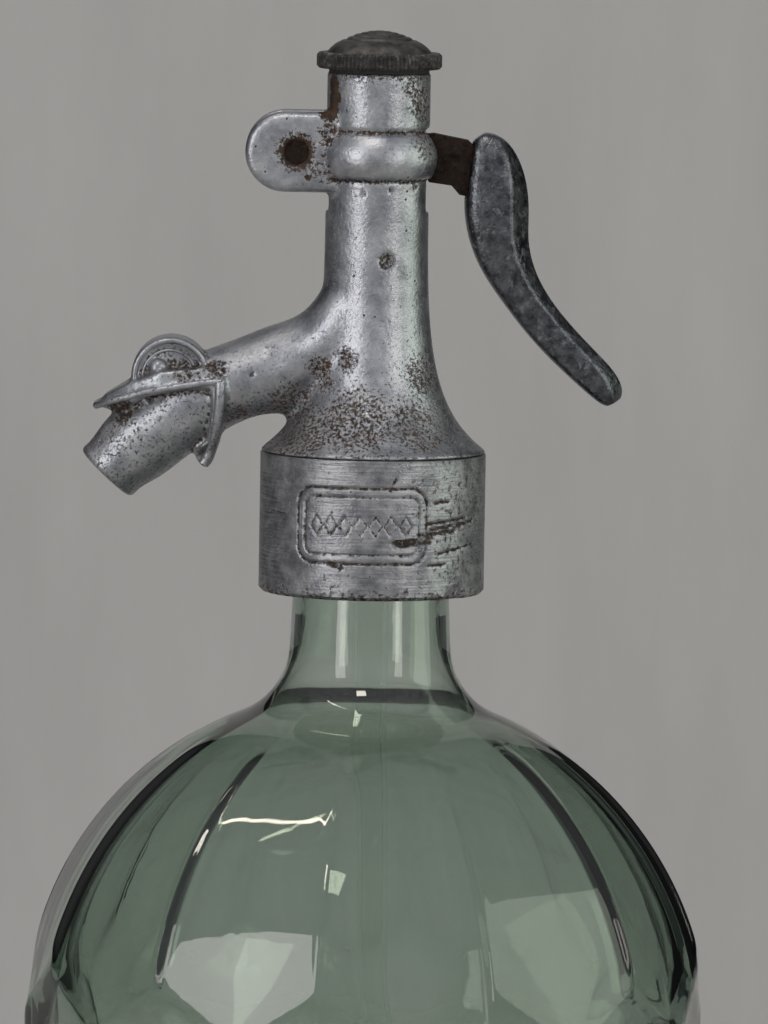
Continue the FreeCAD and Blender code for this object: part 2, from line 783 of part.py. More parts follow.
export(make_lever_bar(), "lever_bar")
export(make_lever_grip(), "lever_grip")
export(make_pivot_pin(), "pivot_pin")


# ---- plunger and valve ------------------------------------------------------------------------------
def make_plunger():
    head = cyl(bore_radius - plunger_gap, plunger_head_foot, plunger_head_top)
    stem = cyl(stem_radius, stem_foot, plunger_head_foot)
    window = slab(-bore_radius - 1, bore_radius + 1, slot_half, pivot_z - lobe_radius - lobe_gap,
                  pivot_z + lobe_radius + lobe_gap)
    return head.fuse(stem).cut(window)


def make_return_spring():
    pitch = (spring_space - spring_wire) / spring_turns
    foot = gland_top + spring_wire / 2
    helix = Part.makeHelix(pitch, pitch * spring_turns, spring_mean_radius)
    helix.translate(V(0, 0, foot))
    section = Part.makePolygon([V(spring_mean_radius + spring_wire / 2 * math.cos(k * math.pi / 3), 0,
                                  foot + (spring_wire / 2 - seat_gap) * math.sin(k * math.pi / 3))
                                for k in range(7)])
    return Part.Wire(helix.Edges).makePipeShell([section], True, True)


def make_valve_seat():
    hole = valve_hole_radius
    body = ring(valve_seat_radius, hole, seat_foot, chamber_foot - seat_gasket_height)
    lip = ring(hole + seat_lip_width, hole, seat_foot - seat_lip_height, seat_foot)
    return body.fuse(lip).removeSplitter()


def make_retaining_nut():
    radius = nut_flats / math.sqrt(3)
    corners = [V(radius * math.cos(k * math.pi / 3), radius * math.sin(k * math.pi / 3), stem_foot)
               for k in range(7)]
    hexagon = Part.Face(Part.makePolygon(corners))
    nut = hexagon.extrude(V(0, 0, nut_height - seat_gap))
    return nut.cut(cyl(stem_radius + seat_gap, stem_foot - 1, disc_foot + 1))


stem_hole = stem_radius + seat_gap
export(make_plunger(), "plunger")
export(make_return_spring(), "return_spring")
export(ring(bore_radius - washer_gap, stem_radius + washer_hole_gap, washer_foot, plunger_head_foot),
       "spring_washer")
export(ring(bore_radius - thread_gap, stem_radius + stem_gap, gland_foot, gland_top), "packing_gland")
export(ring(bore_radius - seat_gap, stem_hole, packing_foot, gland_foot), "packing_washer")
export(make_valve_seat(), "valve_seat")
export(ring(valve_seat_radius - thread_gap, chamber_radius + thread_gap, chamber_foot - seat_gasket_height,
            chamber_foot),
       "seat_gasket")
export(ring(rubber_radius, stem_hole, rubber_foot, rubber_top), "valve_washer")
export(ring(disc_radius, stem_hole, disc_foot, rubber_foot), "valve_disc")
export(make_retaining_nut(), "retaining_nut")


# ---- dip tube ---------------------------------------------------------------------------------------
def make_tube_holder():
    threaded = cyl(holder_radius, casting_foot + thread_gap, holder_top)
    plain = cyl(holder_radius - holder_shrink, holder_foot, casting_foot + thread_gap)
    body = threaded.fuse(plain)
    return body.cut([cyl(holder_chamber_radius, holder_web_top, holder_top + 1),
                     cyl(holder_hole_radius, holder_web_foot - 1, holder_web_top + 1),
                     cyl(holder_socket_radius, holder_foot - 1, holder_web_foot)])


def make_tube_sleeve():
    foot = holder_foot + sleeve_inset
    return ring(holder_socket_radius - seat_gap, tube_radius + seat_gap, foot, tube_top)


def make_dip_tube():
    foot = floor_thickness + tube_floor_gap
    tube = ring(tube_radius, tube_radius - tube_wall, foot, tube_top)
    reach = 3 * tube_radius
    slant = Part.makeBox(2 * reach, 2 * reach, reach, V(-reach, -reach, -reach))
    slant.rotate(V(0, 0, 0), Y_AXIS, tube_slant)
    slant.translate(V(0, 0, foot + tube_radius * math.tan(math.radians(tube_slant))))
    return tube.cut(slant)


export(make_tube_holder(), "tube_holder")
export(make_tube_sleeve(), "tube_sleeve")
export(make_dip_tube(), "dip_tube")
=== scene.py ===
import math
import bpy
import numpy as np
from mathutils import Matrix, Vector


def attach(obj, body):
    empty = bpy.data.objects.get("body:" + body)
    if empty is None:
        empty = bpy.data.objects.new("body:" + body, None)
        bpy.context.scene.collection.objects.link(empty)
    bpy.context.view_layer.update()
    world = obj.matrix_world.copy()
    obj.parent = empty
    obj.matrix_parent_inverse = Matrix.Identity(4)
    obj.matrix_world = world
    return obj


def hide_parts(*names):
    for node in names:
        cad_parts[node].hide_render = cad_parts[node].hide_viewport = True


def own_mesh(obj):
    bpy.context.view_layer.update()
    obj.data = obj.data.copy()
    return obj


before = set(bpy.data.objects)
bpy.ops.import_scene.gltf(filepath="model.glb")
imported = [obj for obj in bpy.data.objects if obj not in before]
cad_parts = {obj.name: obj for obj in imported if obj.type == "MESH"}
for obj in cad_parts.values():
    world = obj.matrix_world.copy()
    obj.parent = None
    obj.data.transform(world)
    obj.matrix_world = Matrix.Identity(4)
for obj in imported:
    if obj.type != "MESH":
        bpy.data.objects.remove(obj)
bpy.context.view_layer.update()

print("frame loaded,", len(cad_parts), "nodes")

mm = 0.001  # the sizes below are real millimetres


def hexToLinear(code):
    parts = [int(code[i:i + 2], 16) / 255 for i in (1, 3, 5)]
    return tuple(c / 12.92 if c <= 0.04045 else ((c + 0.055) / 1.055) ** 2.4 for c in parts) + (1.0,)


def perSize(size):
    # texture scale whose features are about this many millimetres
    return 1 / (size * mm)


def addNode(tree, kind, settings=None, links=None):
    # one shader node: settings go to its sockets or its own properties, and links come from
    # sockets, where a node stands for its first one
    node = tree.nodes.new("ShaderNode" + kind)
    for key, value in (settings or {}).items():
        if key == "stops":
            ramp = node.color_ramp.elements
            while len(ramp) < len(value):
                ramp.new(1.0)
            for stop, (place, colour) in zip(ramp, value):
                stop.position = place
                stop.color = colour
        elif isinstance(key, int) or key in node.inputs:
            node.inputs[key].default_value = value
        else:
            setattr(node, key, value)
    for key, source in (links or {}).items():
        socket = source.outputs[0] if hasattr(source, "outputs") else source
        tree.links.new(socket, node.inputs[key])
    return node


def newMaterial(name):
    # an empty material, its tree and the place on the object that textures read
    material = bpy.data.materials.new(name)
    material.use_nodes = True
    tree = material.node_tree
    tree.nodes.clear()
    return material, tree, addNode(tree, "TexCoord").outputs["Object"]


def deselectAll():
    bpy.ops.object.select_all(action="DESELECT")


def pick(piece):
    deselectAll()
    piece.select_set(True)
    bpy.context.view_layer.objects.active = piece


def editWhole():
    bpy.ops.object.mode_set(mode="EDIT")
    bpy.ops.mesh.select_all(action="SELECT")


def dress(piece, material):
    piece.data.materials.clear()
    piece.data.materials.append(material)


def evenly(points, spacing):
    # the same line with points about one spacing apart
    kept = [points[0]]
    walked = 0.0
    for before, after in zip(points, points[1:]):
        walked += math.dist(before, after)
        if walked >= spacing:
            kept.append(after)
            walked = 0.0
    if kept[-1] != points[-1]:
        kept.append(points[-1])
    return kept


def lathe(name, outline, steps, azimuth=0.0):
    # one vertex is extruded along the half outline (radius, height), then spun about the Z axis
    deselectAll()
    across = Vector((math.cos(math.radians(azimuth)), math.sin(math.radians(azimuth)), 0))
    spots = [(across * r + Vector((0, 0, z))) * mm for r, z in outline]
    bpy.ops.mesh.primitive_plane_add(size=0.001, location=(0, 0, 0))
    piece = bpy.context.object
    piece.name = name
    editWhole()
    bpy.ops.mesh.merge(type="CENTER")
    bpy.ops.transform.translate(value=spots[0])
    for here, there in zip(spots, spots[1:]):
        bpy.ops.mesh.extrude_region_move(TRANSFORM_OT_translate={"value": there - here})
    bpy.ops.mesh.select_all(action="SELECT")
    bpy.ops.mesh.spin(steps=steps, angle=2 * math.pi, center=(0, 0, 0), axis=(0, 0, 1))
    bpy.ops.mesh.select_all(action="SELECT")
    bpy.ops.mesh.remove_doubles(threshold=0.004 * mm)
    bpy.ops.mesh.normals_make_consistent(inside=False)
    bpy.ops.object.mode_set(mode="OBJECT")
    return piece


def smooth(piece, angle=180):
    pick(piece)
    bpy.ops.object.shade_smooth_by_angle(angle=math.radians(angle))
    piece.select_set(False)


def copyOfNode(name, node):
    # a working copy of a frame node, with its loose triangles merged
    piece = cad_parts[node].copy()
    piece.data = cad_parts[node].data.copy()
    piece.name = name
    piece.parent = None
    for key in list(piece.keys()):
        del piece[key]
    bpy.context.scene.collection.objects.link(piece)
    pick(piece)
    editWhole()
    bpy.ops.mesh.remove_doubles(threshold=0.002 * mm)
    bpy.ops.mesh.customdata_custom_splitnormals_clear()
    bpy.ops.object.mode_set(mode="OBJECT")
    return piece


def applyModifier(piece, kind, **settings):
    pick(piece)
    modifier = piece.modifiers.new(kind.title(), kind)
    for key, value in settings.items():
        setattr(modifier, key, value)
    bpy.ops.object.modifier_apply(modifier=modifier.name)


bottle = {
    "bodyRadius": 58.7, "springLine": 139.5, "height": 226.0, "neckRadius": 13.0, "neckTaper": 2.5,
    "neckBlend": 13.0, "lipRadius": 15.6, "lipHeight": 5.4, "lipBevel": 2.6,
    "boreRadius": 10.9, "insideBlend": 23.0, "wall": 3.2, "floor": 8.0, "heelRadius": 9.0,
    "footRadius": 43.0, "puntDepth": 4.5,
    "flutes": 12, "ridgeAzimuth": -98.0, "fluteFade": 190.5, "fluteFoot": 153.5,
    "facetDepth": 2.7, "facetSweep": 80.0, "facetPitch": 30.2, "facetRows": 4, "firstFacet": 139.0,
    "softness": 0.2,      # rounding that fire polishing leaves on the pressed edges
    # a raised rounded rib runs down each ridge between the flutes
    "ribTop": 190.5, "ribFoot": 154.0, "ribWide": 4.8, "ribNarrow": 2.8, "ribHeight": 0.62,
    "ribRunIn": 4.0, "ribRunOut": 2.5,
    # the mould was worn, so the ribs near its front and back seams are faint
    "faintRib": 0.2, "faintUnder": 0.4, "fullOver": 0.6,
    "mouthRadius": 8.2, "mouthFoot": 218.0, "mouthRun": 3.0,
    # the inside follows the pressed outside softly
    "insideFollow": 0.75, "insideSoftness": 1.2, "insideCorner": 0.8,
    # mesh: points up the wall and round it, crowded towards the ridges
    "outsideSpacing": 1.5, "insideSpacing": 3.0, "steps": 504, "crowding": 0.45, "puntSteps": 12,
    # a point this near to the plain wall belongs to it, and the pressing runs out this far past the flutes
    "onWall": 0.05, "pressedPast": 3.0,
}


def roundShoulder(radius, topZ, topRadius, blend):
    # where a ball-shaped shoulder, its hollow blend and the tapered neck meet
    taper = math.radians(bottle["neckTaper"])
    along = Vector((math.sin(taper), -math.cos(taper)))
    outward = Vector((math.cos(taper), math.sin(taper)))
    middle = Vector((0, bottle["springLine"]))
    base = Vector((topRadius, topZ)) + outward * blend - middle
    b = base.dot(along)
    c = base.dot(base) - (radius + blend) ** 2
    centre = middle + base + along * (-b - math.sqrt(b * b - c))
    onNeck = centre - outward * blend
    onShoulder = centre + (middle - centre).normalized() * blend
    return centre, onNeck, onShoulder


def shoulderRadius(z, radius, topZ, topRadius, blend):
    centre, onNeck, onShoulder = roundShoulder(radius, topZ, topRadius, blend)
    if z <= bottle["springLine"]:
        return radius
    if z <= onShoulder.y:
        return math.sqrt(radius ** 2 - (z - bottle["springLine"]) ** 2)
    if z <= onNeck.y:
        return centre.x - math.sqrt(blend ** 2 - (z - centre.y) ** 2)
    return topRadius + (topZ - z) * math.tan(math.radians(bottle["neckTaper"]))


def outsideRadius(z):
    heel = bottle["heelRadius"]
    if z < heel:
        return bottle["bodyRadius"] - heel + math.sqrt(heel ** 2 - (heel - z) ** 2)
    return shoulderRadius(z, bottle["bodyRadius"], bottle["height"] - bottle["lipHeight"],
                          bottle["neckRadius"], bottle["neckBlend"])


def insideRadius(z):
    corner = bottle["heelRadius"] * bottle["insideCorner"]
    radius = bottle["bodyRadius"] - bottle["wall"]
    low = bottle["floor"] + corner
    if z < low:
        return radius - corner + math.sqrt(corner ** 2 - (low - z) ** 2)
    bore = shoulderRadius(z, radius, bottle["height"] + 1, bottle["boreRadius"], bottle["insideBlend"])
    closing = min(1, max(0, (z - bottle["mouthFoot"]) / bottle["mouthRun"]))
    return bore + (bottle["mouthRadius"] - bore) * closing * closing * (3 - 2 * closing)


def softLeast(values, width):
    least = min(values)
    return least - width * math.log(sum(math.exp((least - v) / width) for v in values))


def hollow(z, centreX, centreZ, radius):
    return centreX - math.sqrt(radius ** 2 - (z - centreZ) ** 2)


def pressedRadius(azimuth, z, plain, softness):
    # the plain body with its twelve flutes and the staggered rows of hollow facets
    spring = bottle["springLine"]
    sweep = bottle["facetSweep"]
    step = 2 * math.pi / bottle["flutes"]
    turned = azimuth - math.radians(bottle["ridgeAzimuth"])
    fromRidge = (turned + step / 2) % step - step / 2
    fromFlute = turned % step - step / 2
    found = [plain]
    # flute: an arched line through its waist that reaches the round shoulder where it fades
    waist = bottle["bodyRadius"] * math.cos(step / 2)
    rise = bottle["fluteFade"] - spring
    fadeX = math.sqrt(bottle["bodyRadius"] ** 2 - rise ** 2)
    archX = (fadeX ** 2 + rise ** 2 - waist ** 2) / (2 * (fadeX - waist))
    arch = waist - archX
    footRise = bottle["fluteFoot"] - spring
    lean = math.asin(footRise / arch)
    footX = archX + math.sqrt(arch ** 2 - footRise ** 2)
    if z >= bottle["fluteFoot"]:
        flute = archX + math.sqrt(max(arch ** 2 - (z - spring) ** 2, 1))
        found.append(flute / math.cos(fromFlute))
    elif z > bottle["fluteFoot"] - sweep / 2:
        flute = hollow(z, footX + sweep * math.cos(lean), bottle["fluteFoot"] + sweep * math.sin(lean), sweep)
        found.append(flute / math.cos(fromFlute))
    for row in range(bottle["facetRows"]):
        middle = bottle["firstFacet"] - row * bottle["facetPitch"]
        if abs(z - middle) < bottle["facetPitch"]:
            away = fromFlute if row % 2 else fromRidge
            depth = hollow(z, bottle["bodyRadius"] - bottle["facetDepth"] + sweep, middle, sweep)
            found.append(depth / math.cos(away))
    return softLeast(found, softness)


def ribRise(z, away, azimuth):
    # height of the rib at this height and distance round from the ridge
    low, high = bottle["ribFoot"], bottle["ribTop"]
    if not low < z < high:
        return 0
    along = (z - low) / (high - low)
    half = (bottle["ribNarrow"] + (bottle["ribWide"] - bottle["ribNarrow"]) * along ** 2) / 2
    ends = min(1, (z - low) / bottle["ribRunIn"], (high - z) / bottle["ribRunOut"])
    sideways = (abs(math.cos(azimuth)) - bottle["faintUnder"]) / (bottle["fullOver"] - bottle["faintUnder"])
    sideways = min(1, max(0, sideways)) if math.sin(azimuth) < -0.1 else 0
    rise = bottle["ribHeight"] * (bottle["faintRib"] + (1 - bottle["faintRib"]) * sideways)
    return rise * ends * (2 - ends) * (0.5 + 0.5 * math.cos(math.pi * min(1, away / half)))


def bottleOutline():
    # from the middle of the foot round the outside, over the lip and down the inside
    c = bottle
    lipFoot = c["height"] - c["lipHeight"]
    bevelFoot = lipFoot - c["lipBevel"]
    shares = [n / c["puntSteps"] for n in range(c["puntSteps"] + 1)]
    punt = [(c["footRadius"] * share, c["puntDepth"] * (1 - share ** 4)) for share in shares]
    fine = 20  # points to the millimetre, thinned by evenly()
    wall = [(outsideRadius(z / fine), z / fine) for z in range(round(bevelFoot * fine) + 1)]
    lip = [(c["lipRadius"] - 0.3, lipFoot - 0.3), (c["lipRadius"], lipFoot + 0.4),
           (c["lipRadius"], c["height"] - 0.5), (c["lipRadius"] - 0.5, c["height"])]
    steps = range(round(c["height"] * fine), round(c["floor"] * fine), -1)
    inside = evenly([(insideRadius(z / fine), z / fine) for z in steps], c["insideSpacing"])
    floor = [(c["boreRadius"] * n, c["floor"]) for n in (5, 3, 1, 0)]
    return punt + evenly(wall, c["outsideSpacing"]) + lip + inside + floor


def makeBottle():
    piece = lathe("glassBottle", bottleOutline(), bottle["steps"], bottle["ridgeAzimuth"])
    ridge = math.radians(bottle["ridgeAzimuth"])
    step = 2 * math.pi / bottle["flutes"]
    top = bottle["fluteFade"] + bottle["pressedPast"]
    for vertex in piece.data.vertices:
        x, y, z = vertex.co / mm
        radius = math.hypot(x, y)
        azimuth = math.atan2(y, x)
        azimuth -= bottle["crowding"] * math.sin(bottle["flutes"] * (azimuth - ridge)) / bottle["flutes"]
        plain = outsideRadius(max(z, 0))
        if 1 < z < top and abs(radius - plain) < bottle["onWall"]:
            radius = pressedRadius(azimuth, z, radius, bottle["softness"])
            turned = (azimuth - ridge + step / 2) % step - step / 2
            radius += ribRise(z, abs(turned) * radius, azimuth - turned)
        elif bottle["floor"] + 1 < z < top and abs(radius - insideRadius(z)) < bottle["onWall"]:
            pressed = plain - pressedRadius(azimuth, z, plain, bottle["insideSoftness"])
            radius -= bottle["insideFollow"] * pressed
        vertex.co.x = radius * math.cos(azimuth) * mm
        vertex.co.y = radius * math.sin(azimuth) * mm
    smooth(piece)
    return piece


def makeSodaGlass():
    # thick pressed bottle glass: iron-green through its thickness, glossy, faintly wavy
    look = {"tint": "#f2f8f2", "waveSize": 9.0, "waveHeight": 0.05, "smudgeSize": 14.0}
    material, tree, place = newMaterial("sodaGlass")
    wave = addNode(tree, "TexNoise", {"Scale": perSize(look["waveSize"]), "Detail": 2.0}, {"Vector": place})
    bump = addNode(tree, "Bump", {"Strength": 0.6, "Distance": look["waveHeight"] * mm}, {"Height": wave})
    smudge = addNode(tree, "TexNoise", {"Scale": perSize(look["smudgeSize"]), "Detail": 5.0},
                     {"Vector": place})
    rough = addNode(tree, "MapRange", {"From Min": 0.45, "From Max": 0.75, "To Min": 0.0, "To Max": 0.05},
                    {"Value": smudge})
    shader = addNode(tree, "BsdfPrincipled",
                     {"Base Color": hexToLinear(look["tint"]), "Transmission Weight": 1.0, "IOR": 1.52},
                     {"Roughness": rough, "Normal": bump})
    # what a millimetre of the glass takes from each colour, as a density per metre
    depth = addNode(tree, "VolumeAbsorption", {"Color": (0.22, 0.39, 0.28, 1.0), "Density": 130.0})
    addNode(tree, "OutputMaterial", None, {"Surface": shader, "Volume": depth})
    return material


glassBottle = makeBottle()
dress(glassBottle, makeSodaGlass())
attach(glassBottle, "siphon")
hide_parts("bottle")
print("bottle made,", len(glassBottle.data.polygons), "faces")


def zoneMask(tree, place, axis, start, full):
    # 0 before start and 1 past full, in millimetres along one axis
    split = addNode(tree, "SeparateXYZ", None, {"Vector": place})
    return addNode(tree, "MapRange", {"From Min": start * mm, "From Max": full * mm},
                   {"Value": split.outputs[axis]})


def ballMask(tree, place, centre, reach):
    # 1 at a point and 0 a reach away, in millimetres
    away = addNode(tree, "VectorMath", {"operation": "DISTANCE", 1: tuple(c * mm for c in centre)},
                   {0: place})
    return addNode(tree, "MapRange", {"From Min": reach * mm, "From Max": 0.0},
                   {"Value": away.outputs["Value"]})


def specks(tree, place, look):
    # small round corrosion pits, a few of them in each square centimetre
    cells = addNode(tree, "TexVoronoi", {"Scale": perSize(look["speckSpacing"])}, {"Vector": place})
    dot = addNode(tree, "MapRange", {"From Min": look["speckRadius"] / look["speckSpacing"],
                                     "From Max": 0.5 * look["speckRadius"] / look["speckSpacing"]},
                  {"Value": cells})
    chance = addNode(tree, "SeparateXYZ", None, {"Vector": cells.outputs["Color"]})
    picked = addNode(tree, "Math", {"operation": "GREATER_THAN", 1: 1 - look["speckShare"]}, {0: chance})
    return addNode(tree, "Math", {"operation": "MULTIPLY"}, {0: dot, 1: picked})


# what all aged metals share: where the noise turns from tone to tone and into dirt, and what dirt does
ageing = {
    "tones": (0.35, 0.65), "soilTones": (0.42, 0.54, 0.68), "soilSize": 3.0,
    "dirtFrom": 0.60, "dirtFull": 0.72, "dirtyMetal": 0.25, "dirtyRough": 0.35,
    "turnedSize": 0.5, "turnedStretch": (0.06, 0.06, 1.0), "relief": 0.7,
}


def agedMetal(name, look):
    # metal with patchy tone and small pits, with dirt at the look's levels and balls and where it heaps; some
    # levels and heaps also hold painted shade in the dirt colours
    material, tree, place = newMaterial(name)
    patch = addNode(tree, "TexNoise", {"Scale": perSize(look["patchSize"]), "Detail": 6.0, "Roughness": 0.65},
                    {"Vector": place})
    tones = [hexToLinear(look[key]) for key in ("dark", "light")]
    tone = addNode(tree, "ValToRGB", {"stops": list(zip(ageing["tones"], tones))}, {"Fac": patch})
    grime = addNode(tree, "TexNoise", {"Scale": perSize(look["grimeSize"]), "Detail": 8.0, "Roughness": 0.7},
                    {"Vector": place})
    level = addNode(tree, "Math", {"operation": "ADD", 1: look["grimeBase"]}, {0: grime})
    masks = [(weight, zoneMask(tree, place, *zone)) for weight, *zone in look.get("levels", ())]
    masks += [(weight, ballMask(tree, place, *ball)) for weight, *ball in look.get("balls", ())]
    # the stored heap is dirt, and on the head casting also painted shade in crevices
    if look.get("heap"):
        masks.append((1.0, addNode(tree, "Attribute", {"attribute_name": look["heap"]}).outputs["Fac"]))
    for weight, mask in masks:
        heaped = addNode(tree, "Math", {"operation": "MULTIPLY_ADD", 1: weight}, {0: mask, 2: grime})
        level = addNode(tree, "Math", {"operation": "MAXIMUM"}, {0: heaped, 1: level})
    dirt = addNode(tree, "MapRange", {"From Min": ageing["dirtFrom"], "From Max": ageing["dirtFull"]},
                   {"Value": level})
    dirt = addNode(tree, "Math", {"operation": "MAXIMUM"}, {0: dirt, 1: specks(tree, place, look)})
    hue = addNode(tree, "TexNoise", {"Scale": perSize(ageing["soilSize"]), "Detail": 10.0, "Roughness": 0.78},
                  {"Vector": place})
    soils = [hexToLinear(look[key]) for key in ("deep", "rust", "soil")]
    soil = addNode(tree, "ValToRGB", {"stops": list(zip(ageing["soilTones"], soils))}, {"Fac": hue})
    colour = addNode(tree, "Mix", {"data_type": "RGBA"}, {0: dirt, 6: tone, 7: soil})
    metallic = addNode(tree, "MapRange", {"To Min": 1.0, "To Max": ageing["dirtyMetal"]}, {"Value": dirt})
    rough = addNode(tree, "MapRange", {"From Min": 0.3, "From Max": 0.7, "To Min": look["smooth"],
                                       "To Max": look["rough"]}, {"Value": patch})
    rough = addNode(tree, "Math", {"operation": "MULTIPLY_ADD", 1: ageing["dirtyRough"]},
                    {0: dirt, 2: rough})
    grain = addNode(tree, "TexNoise", {"Scale": perSize(look["grainSize"]), "Detail": 4.0},
                    {"Vector": place})
    turned = addNode(tree, "Mapping", {"Scale": ageing["turnedStretch"]}, {"Vector": place})
    turned = addNode(tree, "TexNoise", {"Scale": perSize(ageing["turnedSize"]), "Detail": 3.0},
                     {"Vector": turned})
    relief = addNode(tree, "Math", {"operation": "MULTIPLY_ADD", 1: -look["pitDepth"]}, {0: dirt, 2: grain})
    relief = addNode(tree, "Math", {"operation": "MULTIPLY_ADD", 1: look.get("turned", 0.0)},
                     {0: turned, 2: relief})
    bump = addNode(tree, "Bump", {"Strength": ageing["relief"], "Distance": look["grainHeight"] * mm},
                   {"Height": relief})
    shader = addNode(tree, "BsdfPrincipled", None,
                     {"Base Color": colour.outputs[2], "Metallic": metallic, "Roughness": rough,
                      "Normal": bump})
    addNode(tree, "OutputMaterial", None, {"Surface": shader})
    return material


head = {
    "voxel": 0.45, "softenSteps": 5,
    # the spout flows into the column in one soft sweep round this centre (x, z), outside the bore's wall
    "rootCentre": (-7.0, 256.0), "rootReach": 16.0, "rootSteps": 60, "rootInner": 7.2,
    # die-cast aluminium alloy, once polished, now dulled and pitted
    "metal": {"light": "#b9bbc0", "dark": "#8f9299", "deep": "#1e1712", "rust": "#422e20", "soil": "#4c4431",
              "patchSize": 4.0, "grimeSize": 0.55, "grimeBase": -0.05, "smooth": 0.30, "rough": 0.44,
              "grainSize": 0.6, "grainHeight": 0.11, "pitDepth": 0.6,
              "speckSpacing": 1.7, "speckRadius": 0.26, "speckShare": 0.18,
              # dirt on the cone and a painted shadow in dirt colours under the cap, then dirt in the notch
              # under the arm and round the pin
              "levels": [(0.09, "Z", 262, 240), (0.13, "Z", 300.6, 302.2)],
              "balls": [(0.2, (-17, 0, 243), 14), (0.65, (-13.7, -5.7, 289.5), 4.2)], "heap": "dirtHeap"},
    # knocks and corrosion holes: place on the surface, radius, depth
    "dents": [((1.7, -8.6, 271.6), 1.3, 0.4), ((-2.35, -8.4, 282.8), 0.45, 0.3),
              ((2.2, -8.5, 283.5), 0.35, 0.3), ((-20.6, -6.9, 251.9), 0.5, 0.4),
              ((-39.1, -6.3, 240.7), 0.45, 0.35), ((-40.1, -5.8, 237.6), 0.4, 0.35),
              ((-39.6, -6.0, 238.4), 0.4, 0.35), ((5.5, -6.6, 291.5), 0.5, 0.25),
              ((6.3, -6.0, 284.0), 0.5, 0.25)],
    "dentEase": 1.25, "dentDirt": 0.2,
    # rust and dried soil: place, reach, weight; the three at x -8 from z 296 to 301 are rust with painted
    # shade along the column's left edge
    "stainsAndShade": [((-9.2, -7.5, 253.2), 2.2, 0.19), ((-8.3, -7.5, 250.6), 2.0, 0.17),
               ((-4.8, -8.8, 254.8), 2.0, 0.18), ((-7.9, -4.4, 301.0), 1.6, 0.36),
               ((-7.7, -4.6, 298.7), 1.7, 0.4), ((-8.2, -4.4, 296.2), 1.8, 0.4),
               ((-8.0, -5.0, 292.5), 2.2, 0.2), ((-11.7, -5.7, 285.3), 0.55, 0.4),
               ((6.0, -7.0, 300.8), 2.2, 0.16), ((-9.5, -6.0, 286.5), 2.2, 0.16),
               ((-31.5, -5.0, 251.5), 3.2, 0.19), ((-27.0, -5.5, 252.0), 2.4, 0.2),
               ((-43.0, -5.0, 245.3), 2.6, 0.24), ((-44.5, -4.5, 242.0), 2.4, 0.13),
               ((-47.5, -4.0, 239.2), 2.4, 0.12), ((7.9, -4.5, 298.0), 3.4, 0.18),
               ((7.6, -5.2, 291.0), 3.0, 0.14), ((7.0, -5.5, 252.0), 4.0, 0.16),
               ((-14.0, -6.5, 246.0), 5.0, 0.16), ((-22.0, -6.5, 243.5), 4.0, 0.16),
               ((-3.0, -12.0, 243.5), 7.0, 0.17), ((6.5, -12.0, 243.0), 6.0, 0.15),
               ((-12.0, -10.0, 241.0), 7.0, 0.17), ((12.0, -9.0, 242.5), 5.0, 0.12)],
    "stainEase": 1.4,
    # cuts over and under the band, between two radii and right of the ear
    "bandCuts": {"heights": (293.1, 284.9), "half": 0.6, "depth": 0.5, "inner": 8.2, "outer": 11.5,
                 "from": -8.5, "dirt": 0.3},
    # crevices take dirt and painted shade: easing steps, depth that counts as full, and weight
    "creviceSteps": 10, "creviceDepth": 0.2, "creviceDirtAndShade": 0.19,
    "faceSides": {"Left": -1, "Right": 1}, "facePlane": 4.35,
    # bird face in side view: rings (centre, radius, thickness, height over the plane), eye, lids, beads
    "rings": [((-34.4, 251.2), 6.1, 0.52, 0.35), ((-34.6, 251.1), 4.55, 0.24, 0.05)],
    "eye": ((-36.5, 252.6), 1.75),
    "lids": [[(-34.9, 251.4), (-33.6, 252.3), (-32.0, 253.2)],
             [(-34.6, 250.9), (-33.0, 251.6), (-31.6, 252.9)]],
    "lidThickness": 0.24, "lidHeight": 0.1,
    "beakBead": [(-47.0, 245.9), (-45.6, 246.5), (-43.0, 247.4), (-40.0, 248.3), (-36.0, 249.2),
                 (-32.0, 249.9), (-28.5, 250.5), (-25.9, 250.7)],
    "jawBead": [(-26.0, 250.6), (-25.95, 249.0), (-26.05, 246.0), (-26.5, 242.5), (-27.2, 239.6),
                (-28.15, 237.2), (-28.7, 236.3)],
    "beadThickness": 0.62, "jawThickness": 0.95,
    "beak": {"tip": -47.3, "length": 11.0, "halfWidth": 7.55},
    "cheek": {"x": -27.0, "z": 248.0, "tilt": 30.0, "radius": 7.95, "chin": 2.7},
}


def surfaceArrays(piece):
    mesh = piece.data
    spots = np.empty(len(mesh.vertices) * 3)
    normals = np.empty(len(mesh.vertices) * 3)
    edges = np.empty(len(mesh.edges) * 2, dtype=np.int64)
    mesh.vertices.foreach_get("co", spots)
    mesh.vertices.foreach_get("normal", normals)
    mesh.edges.foreach_get("vertices", edges)
    return spots.reshape(-1, 3) / mm, normals.reshape(-1, 3), edges.reshape(-1, 2)


def crevices(piece, steps, depth):
    # 1 where the surface lies deep in a corner and 0 where it is flat or raised
    spots, normals, edges = surfaceArrays(piece)
    here = np.concatenate([edges[:, 0], edges[:, 1]])
    there = np.concatenate([edges[:, 1], edges[:, 0]])
    degree = np.maximum(np.bincount(here, minlength=len(spots)), 1)
    eased = spots.copy()
    for _ in range(steps):
        eased = np.stack([np.bincount(here, weights=eased[there, axis], minlength=len(spots)) / degree
                             for axis in range(3)], axis=1)
    lift = ((eased - spots) * normals).sum(axis=1)
    return np.clip(lift / depth, 0, 1)


def storeHeap(piece, heap):
    # the heap is dirt, and on the head casting also painted shade
    layer = piece.data.attributes.new("dirtHeap", "FLOAT", "POINT")
    layer.data.foreach_set("value", heap.astype(np.float32))


